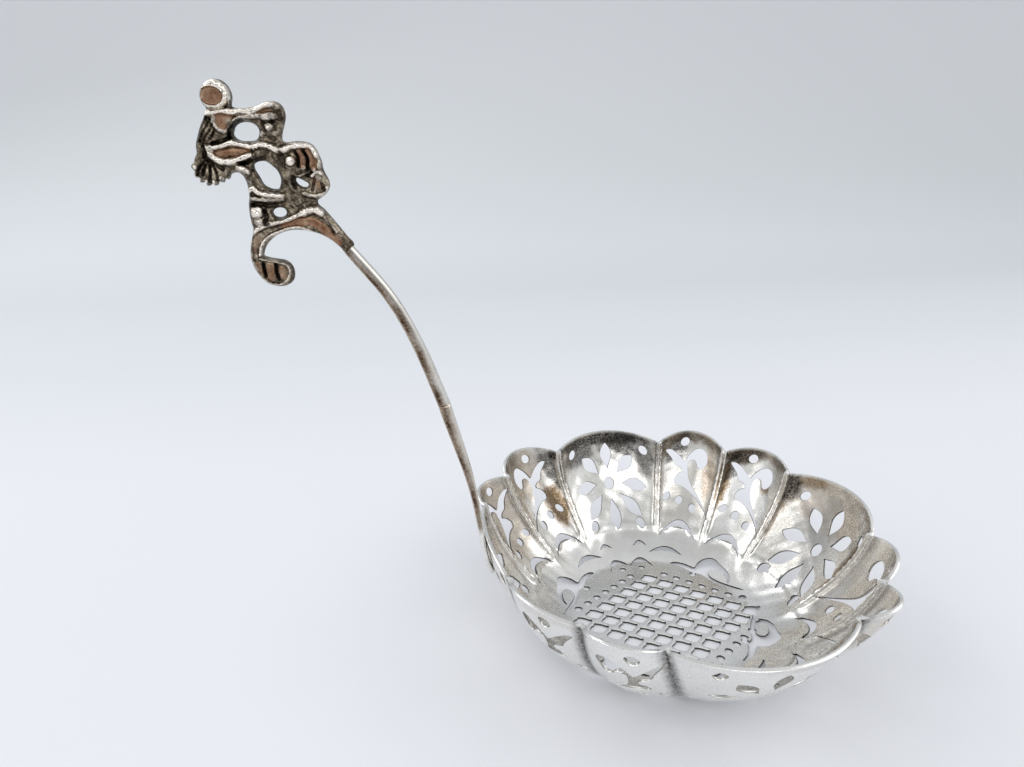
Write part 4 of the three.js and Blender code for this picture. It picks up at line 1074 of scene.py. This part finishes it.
def polishedSilver(look):
    # polished sterling silver under a thin film: it drifts from bright to cloudy; worn places are rubbed
    # nearly white, with a painted highlight on the bowl's crests and rim, and smooth places are tinted
    # nearly white, which on the bowl's outer skin is painted light; brown marks tint it with tarnish and a
    # painted warm reflection on the rods; dark marks blacken it as tarnish and painted shade, cut edges as
    # painted shade; fine specks scatter the highlights
    material, tree = newMaterial(look["name"])
    place = (addNode(tree, "TexCoord"), "Object")
    brown, dark, cut, worn, smooth = [(addNode(tree, "Attribute", attribute_name=mark), "Fac")
                                      for mark in ("brown", "dark", "cut", "worn", "smooth")]
    cloud = (addNode(tree, "TexNoise", {"Vector": place, "Scale": perMetre(look["cloudSize"]), "Detail": 5.0,
                                        "Roughness": 0.65}), "Fac")
    speck = (addNode(tree, "TexNoise", {"Vector": place, "Scale": perMetre(look["speckSize"]),
                                        "Detail": 3.0}), "Fac")
    grain = addNode(tree, "MapRange", {0: speck, 1: 0.35, 2: 0.65, 3: 0.75, 4: 1.2})
    # worn places with their painted highlight, and smooth ones with their painted light, go toward near
    # white
    isRubbedAndLit = addNode(tree, "Math", {0: worn, 1: smooth}, operation="MAXIMUM")
    rubbedAndLitShare, warmShare, filmShare, cutShadeShare = [
        (addNode(tree, "Math", {0: mark, 1: factor}, operation="MULTIPLY"), 0)
        for mark, factor in (((isRubbedAndLit, 0), look["rubbedAndLitShare"]), (brown, (grain, 0)),
                             (dark, (grain, 0)), (cut, look["cutShadeShare"]))]
    # the dark film, partly painted shade, and the painted shade of the cut walls blacken the silver
    darkShare = (addNode(tree, "Math", {0: filmShare, 1: cutShadeShare}, operation="MAXIMUM"), 0)
    tone = (addNode(tree, "ValToRGB", {0: cloud}, ((0.35, look["bright"]), (0.7, look["cloudy"]))), 0)
    for share, colour in ((rubbedAndLitShare, "rubbedAndLit"), (warmShare, "warm"), (darkShare, "dark")):
        tone = (addNode(tree, "Mix", {0: share, 6: tone, 7: linear(look[colour])}, data_type="RGBA"), 2)
    rough = addNode(tree, "MapRange", {0: speck, 1: 0.35, 2: 0.7, 3: look["roughness"],
                                       4: look["roughness"] + look["roughSpread"]})
    height = addNode(tree, "Math", {0: cloud, 1: speck}, operation="ADD")
    strength = addNode(tree, "MapRange", {0: smooth, 3: look["hammered"], 4: look["planished"]})
    relief = addNode(tree, "Bump", {"Height": (height, 0), "Strength": (strength, 0),
                                    "Distance": look["bump"]})
    shader = addNode(tree, "BsdfPrincipled", {"Base Color": tone, "Metallic": 1.0,
                                              "Roughness": (rough, 0), "Normal": (relief, 0)})
    addNode(tree, "OutputMaterial", {0: (shader, 0)})
    return material


# the faces' red-brown is tarnish with a painted warm reflection
oxidisedCasting = {
    "plate": ((0.34, "#352e24"), (0.5, "#6c604f"), (0.64, "#b8ab96")), "worn": "#f7eee2",
    "face": ((0.36, "#805b43"), (0.64, "#b8987e")), "black": "#1d1814", "roughPlate": 0.42, "roughWorn": 0.2,
    "blackShare": 0.9, "pitted": 0.4, "cloudSize": 1.5385, "speckSize": 0.4545, "bump": 0.0002,
}


def castSilver(look):
    # cast sterling silver, oxidised and rubbed: grey-brown and uneven over the plate, near white where
    # edges are worn and a highlight is painted, smooth red-brown on the faces with a painted warm
    # reflection, black where a cloth never reaches, and black as painted shade on the holes' walls, beside
    # the bright edges and round the knob's face
    material, tree = newMaterial("sterlingCastOxidised")
    place = (addNode(tree, "TexCoord"), "Object")
    worn, brown, black = [(addNode(tree, "Attribute", attribute_name=mark), "Fac")
                          for mark in ("worn", "brown", "black")]
    cloud = (addNode(tree, "TexNoise", {"Vector": place, "Scale": perMetre(look["cloudSize"]), "Detail": 4.0,
                                        "Roughness": 0.7}), "Fac")
    speck = (addNode(tree, "TexNoise", {"Vector": place, "Scale": perMetre(look["speckSize"]),
                                        "Detail": 3.0}), "Fac")
    face = addNode(tree, "ValToRGB", {0: cloud}, look["face"])
    uneven = addNode(tree, "MapRange", {0: speck, 1: 0.35, 2: 0.65, 3: 0.8, 4: 1.7})
    wornAndHighlightShare = (addNode(tree, "Math", {0: worn, 1: (uneven, 0)}, operation="MULTIPLY", use_clamp=True), 0)
    blackShare = (addNode(tree, "Math", {0: black, 1: look["blackShare"]}, operation="MULTIPLY"), 0)
    tone = (addNode(tree, "ValToRGB", {0: cloud}, look["plate"]), 0)
    for share, colour in ((wornAndHighlightShare, linear(look["worn"])), (brown, (face, 0)),
                          (blackShare, linear(look["black"]))):
        tone = (addNode(tree, "Mix", {0: share, 6: tone, 7: colour}, data_type="RGBA"), 2)
    rough = addNode(tree, "MapRange", {0: wornAndHighlightShare, 3: look["roughPlate"], 4: look["roughWorn"]})
    relief = addNode(tree, "Bump", {"Height": cloud, "Strength": look["pitted"], "Distance": look["bump"]})
    shader = addNode(tree, "BsdfPrincipled", {"Base Color": tone, "Metallic": 1.0,
                                              "Roughness": (rough, 0), "Normal": (relief, 0)})
    addNode(tree, "OutputMaterial", {0: (shader, 0)})
    return material


stemSilver = polishedSilver(rodSilver)
bowlPiece.data.materials.append(polishedSilver(sheetSilver))
lowerPiece.data.materials.append(stemSilver)
upperPiece.data.materials.append(stemSilver)
finialPiece.data.materials.append(castSilver(oxidisedCasting))

for piece, node, slot in (
        (bowlPiece, "bowl", "bowl_silver"), (lowerPiece, "lower_stem", "stem_silver"),
        (upperPiece, "upper_stem", "stem_silver"), (finialPiece, "finial", "cast_silver")):
    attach(piece, "root")
    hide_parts(node)
print("materials set")


# Studio, in metres: a pale sweep of paper with painted shade, a bright room, and a dim card at the front
# for the silver to mirror. Each lamp has its place, what it points at, its size and its power.
studio = {
    "paperWithShade": ((0.06, "#e8e9ed"), (0.14, "#dfe2e6"), (0.25, "#dadee2"), (0.36, "#dfe3e6"),
              (0.55, "#dee1e4"), (0.8, "#e0e2e5")),
    "paperReach": 1.4, "front": 1.2, "flatBack": 0.35, "bend": 1.1, "rise": 0.6, "halfWidth": 3.0,
    "cardColour": "#4a4542", "cardHalf": (0.375, 0.15), "cardPlace": (0.0, -0.75, 0.2),
    "room": ((0.0, "#d9dce0"), (0.35, "#eef0f2"), (0.7, "#eceef1"), (1.0, "#d6d9dc")), "roomStrength": 0.97,
    "lamps": {
        "frontLight": ((0.0, -0.75, 0.6), (0, 0, 0), (0.8, 0.4), 1.6),
        "backLight": ((-0.4, 0.5, 0.6), (0, 0, 0.03), (0.5, 0.35), 0.9),
        "leftLight": ((-0.6, -0.1, 0.45), (0, 0, 0.03), (0.45, 0.4), 0.8),
        "rightLight": ((0.6, -0.1, 0.5), (0, 0, 0.03), (0.45, 0.4), 0.7),
    },
}


def stagePiece(name, points, faces, material):
    # a smooth mesh of the studio in one material
    mesh = bpy.data.meshes.new(name)
    mesh.from_pydata(points, [], faces)
    mesh.shade_smooth()
    piece = bpy.data.objects.new(name, mesh)
    bpy.context.collection.objects.link(piece)
    piece.data.materials.append(material)
    return piece


def paperMaterial():
    # matt paper with painted shade: its tint darkens a little from front to back, most where the sweep
    # starts to bend up, as where light falls off
    material, tree = newMaterial("paperSweep")
    along = addNode(tree, "SeparateXYZ", {0: (addNode(tree, "TexCoord"), "Object")})
    fade = addNode(tree, "MapRange", {0: (along, "Y"), 2: studio["paperReach"]})
    shadedTint = addNode(tree, "ValToRGB", {0: (fade, 0)}, studio["paperWithShade"])
    shader = addNode(tree, "BsdfPrincipled", {"Base Color": (shadedTint, 0), "Roughness": 0.9,
                                              "Specular IOR Level": 0.1})
    addNode(tree, "OutputMaterial", {0: (shader, 0)})
    return material


def cardMaterial():
    # dull grey-brown card, which the silver mirrors as a room's darker side
    material, tree = newMaterial("dimCard")
    shader = addNode(tree, "BsdfPrincipled", {"Base Color": linear(studio["cardColour"]), "Roughness": 0.9,
                                              "Specular IOR Level": 0.1})
    addNode(tree, "OutputMaterial", {0: (shader, 0)})
    return material


def paperSweep():
    # a flat floor that bends up along a quarter circle into an upright back, carried along X
    bend = studio["bend"]
    angle = np.linspace(0, math.pi / 2, 32)
    curve = np.stack([studio["flatBack"] + bend * np.sin(angle), bend * (1 - np.cos(angle))], axis=1)
    profile = np.vstack([[[-studio["front"], 0.0]], curve, curve[-1:] + [[0.0, studio["rise"]]]])
    points = [(x, y, z) for y, z in profile.tolist() for x in (-studio["halfWidth"], studio["halfWidth"])]
    row = np.arange(len(profile) - 1) * 2
    faces = np.stack([row, row + 1, row + 3, row + 2], axis=1)
    return stagePiece("paperSweep", points, faces.tolist(), paperMaterial())


def dimCard():
    # one upright face about its own middle, carried to its place
    wide, high = studio["cardHalf"]
    corners = [(-wide, 0, -high), (wide, 0, -high), (wide, 0, high), (-wide, 0, high)]
    card = stagePiece("dimCard", corners, [(3, 2, 1, 0)], cardMaterial())
    card.location = studio["cardPlace"]
    card.visible_camera = False  # the silver mirrors it, but no view shows it
    return card


def brightRoom():
    # a plain bright world whose shade changes a little with height
    world = bpy.data.worlds.new("brightRoom")
    world.use_nodes = True
    tree = world.node_tree
    tree.nodes.clear()
    direction = addNode(tree, "SeparateXYZ", {0: (addNode(tree, "TexCoord"), "Generated")})
    shade = addNode(tree, "ValToRGB", {0: (direction, "Z")}, studio["room"])
    sky = addNode(tree, "Background", {"Color": (shade, 0), "Strength": studio["roomStrength"]})
    addNode(tree, "OutputWorld", {0: (sky, 0)})
    return world


def facing(direction):
    # turn of a lamp or camera that looks along the direction, with its top up
    return Vector(direction).to_track_quat("-Z", "Y").to_euler()


def softbox(name, spot, target, size, power):
    # an oblong lamp at its spot, turned to its target
    lamp = bpy.data.lights.new(name, "AREA")
    lamp.shape = "RECTANGLE"
    lamp.size, lamp.size_y = size
    lamp.energy = power
    piece = bpy.data.objects.new(name, lamp)
    piece.location = spot
    piece.rotation_euler = facing(Vector(target) - Vector(spot))
    bpy.context.collection.objects.link(piece)


sweep = paperSweep()
card = dimCard()
bpy.context.scene.world = brightRoom()
for name, values in studio["lamps"].items():
    softbox(name, *values)

# the camera's place is in millimetres about the middle of the bowl's floor
camera = {"spot": (-50.72, -99.12, 84.29), "ahead": (0.1918, 0.9269, -0.3226), "lens": 22.85}
data = bpy.data.cameras.new("camera")
data.sensor_width = 36.0
data.lens = camera["lens"]
data.clip_start = 0.005
view = bpy.data.objects.new("camera", data)
view.location = toFrame(np.array(camera["spot"]))
view.rotation_euler = facing(camera["ahead"])
bpy.context.collection.objects.link(view)
bpy.context.scene.camera = view

bpy.context.scene.view_settings.view_transform = "Standard"
print("studio set")
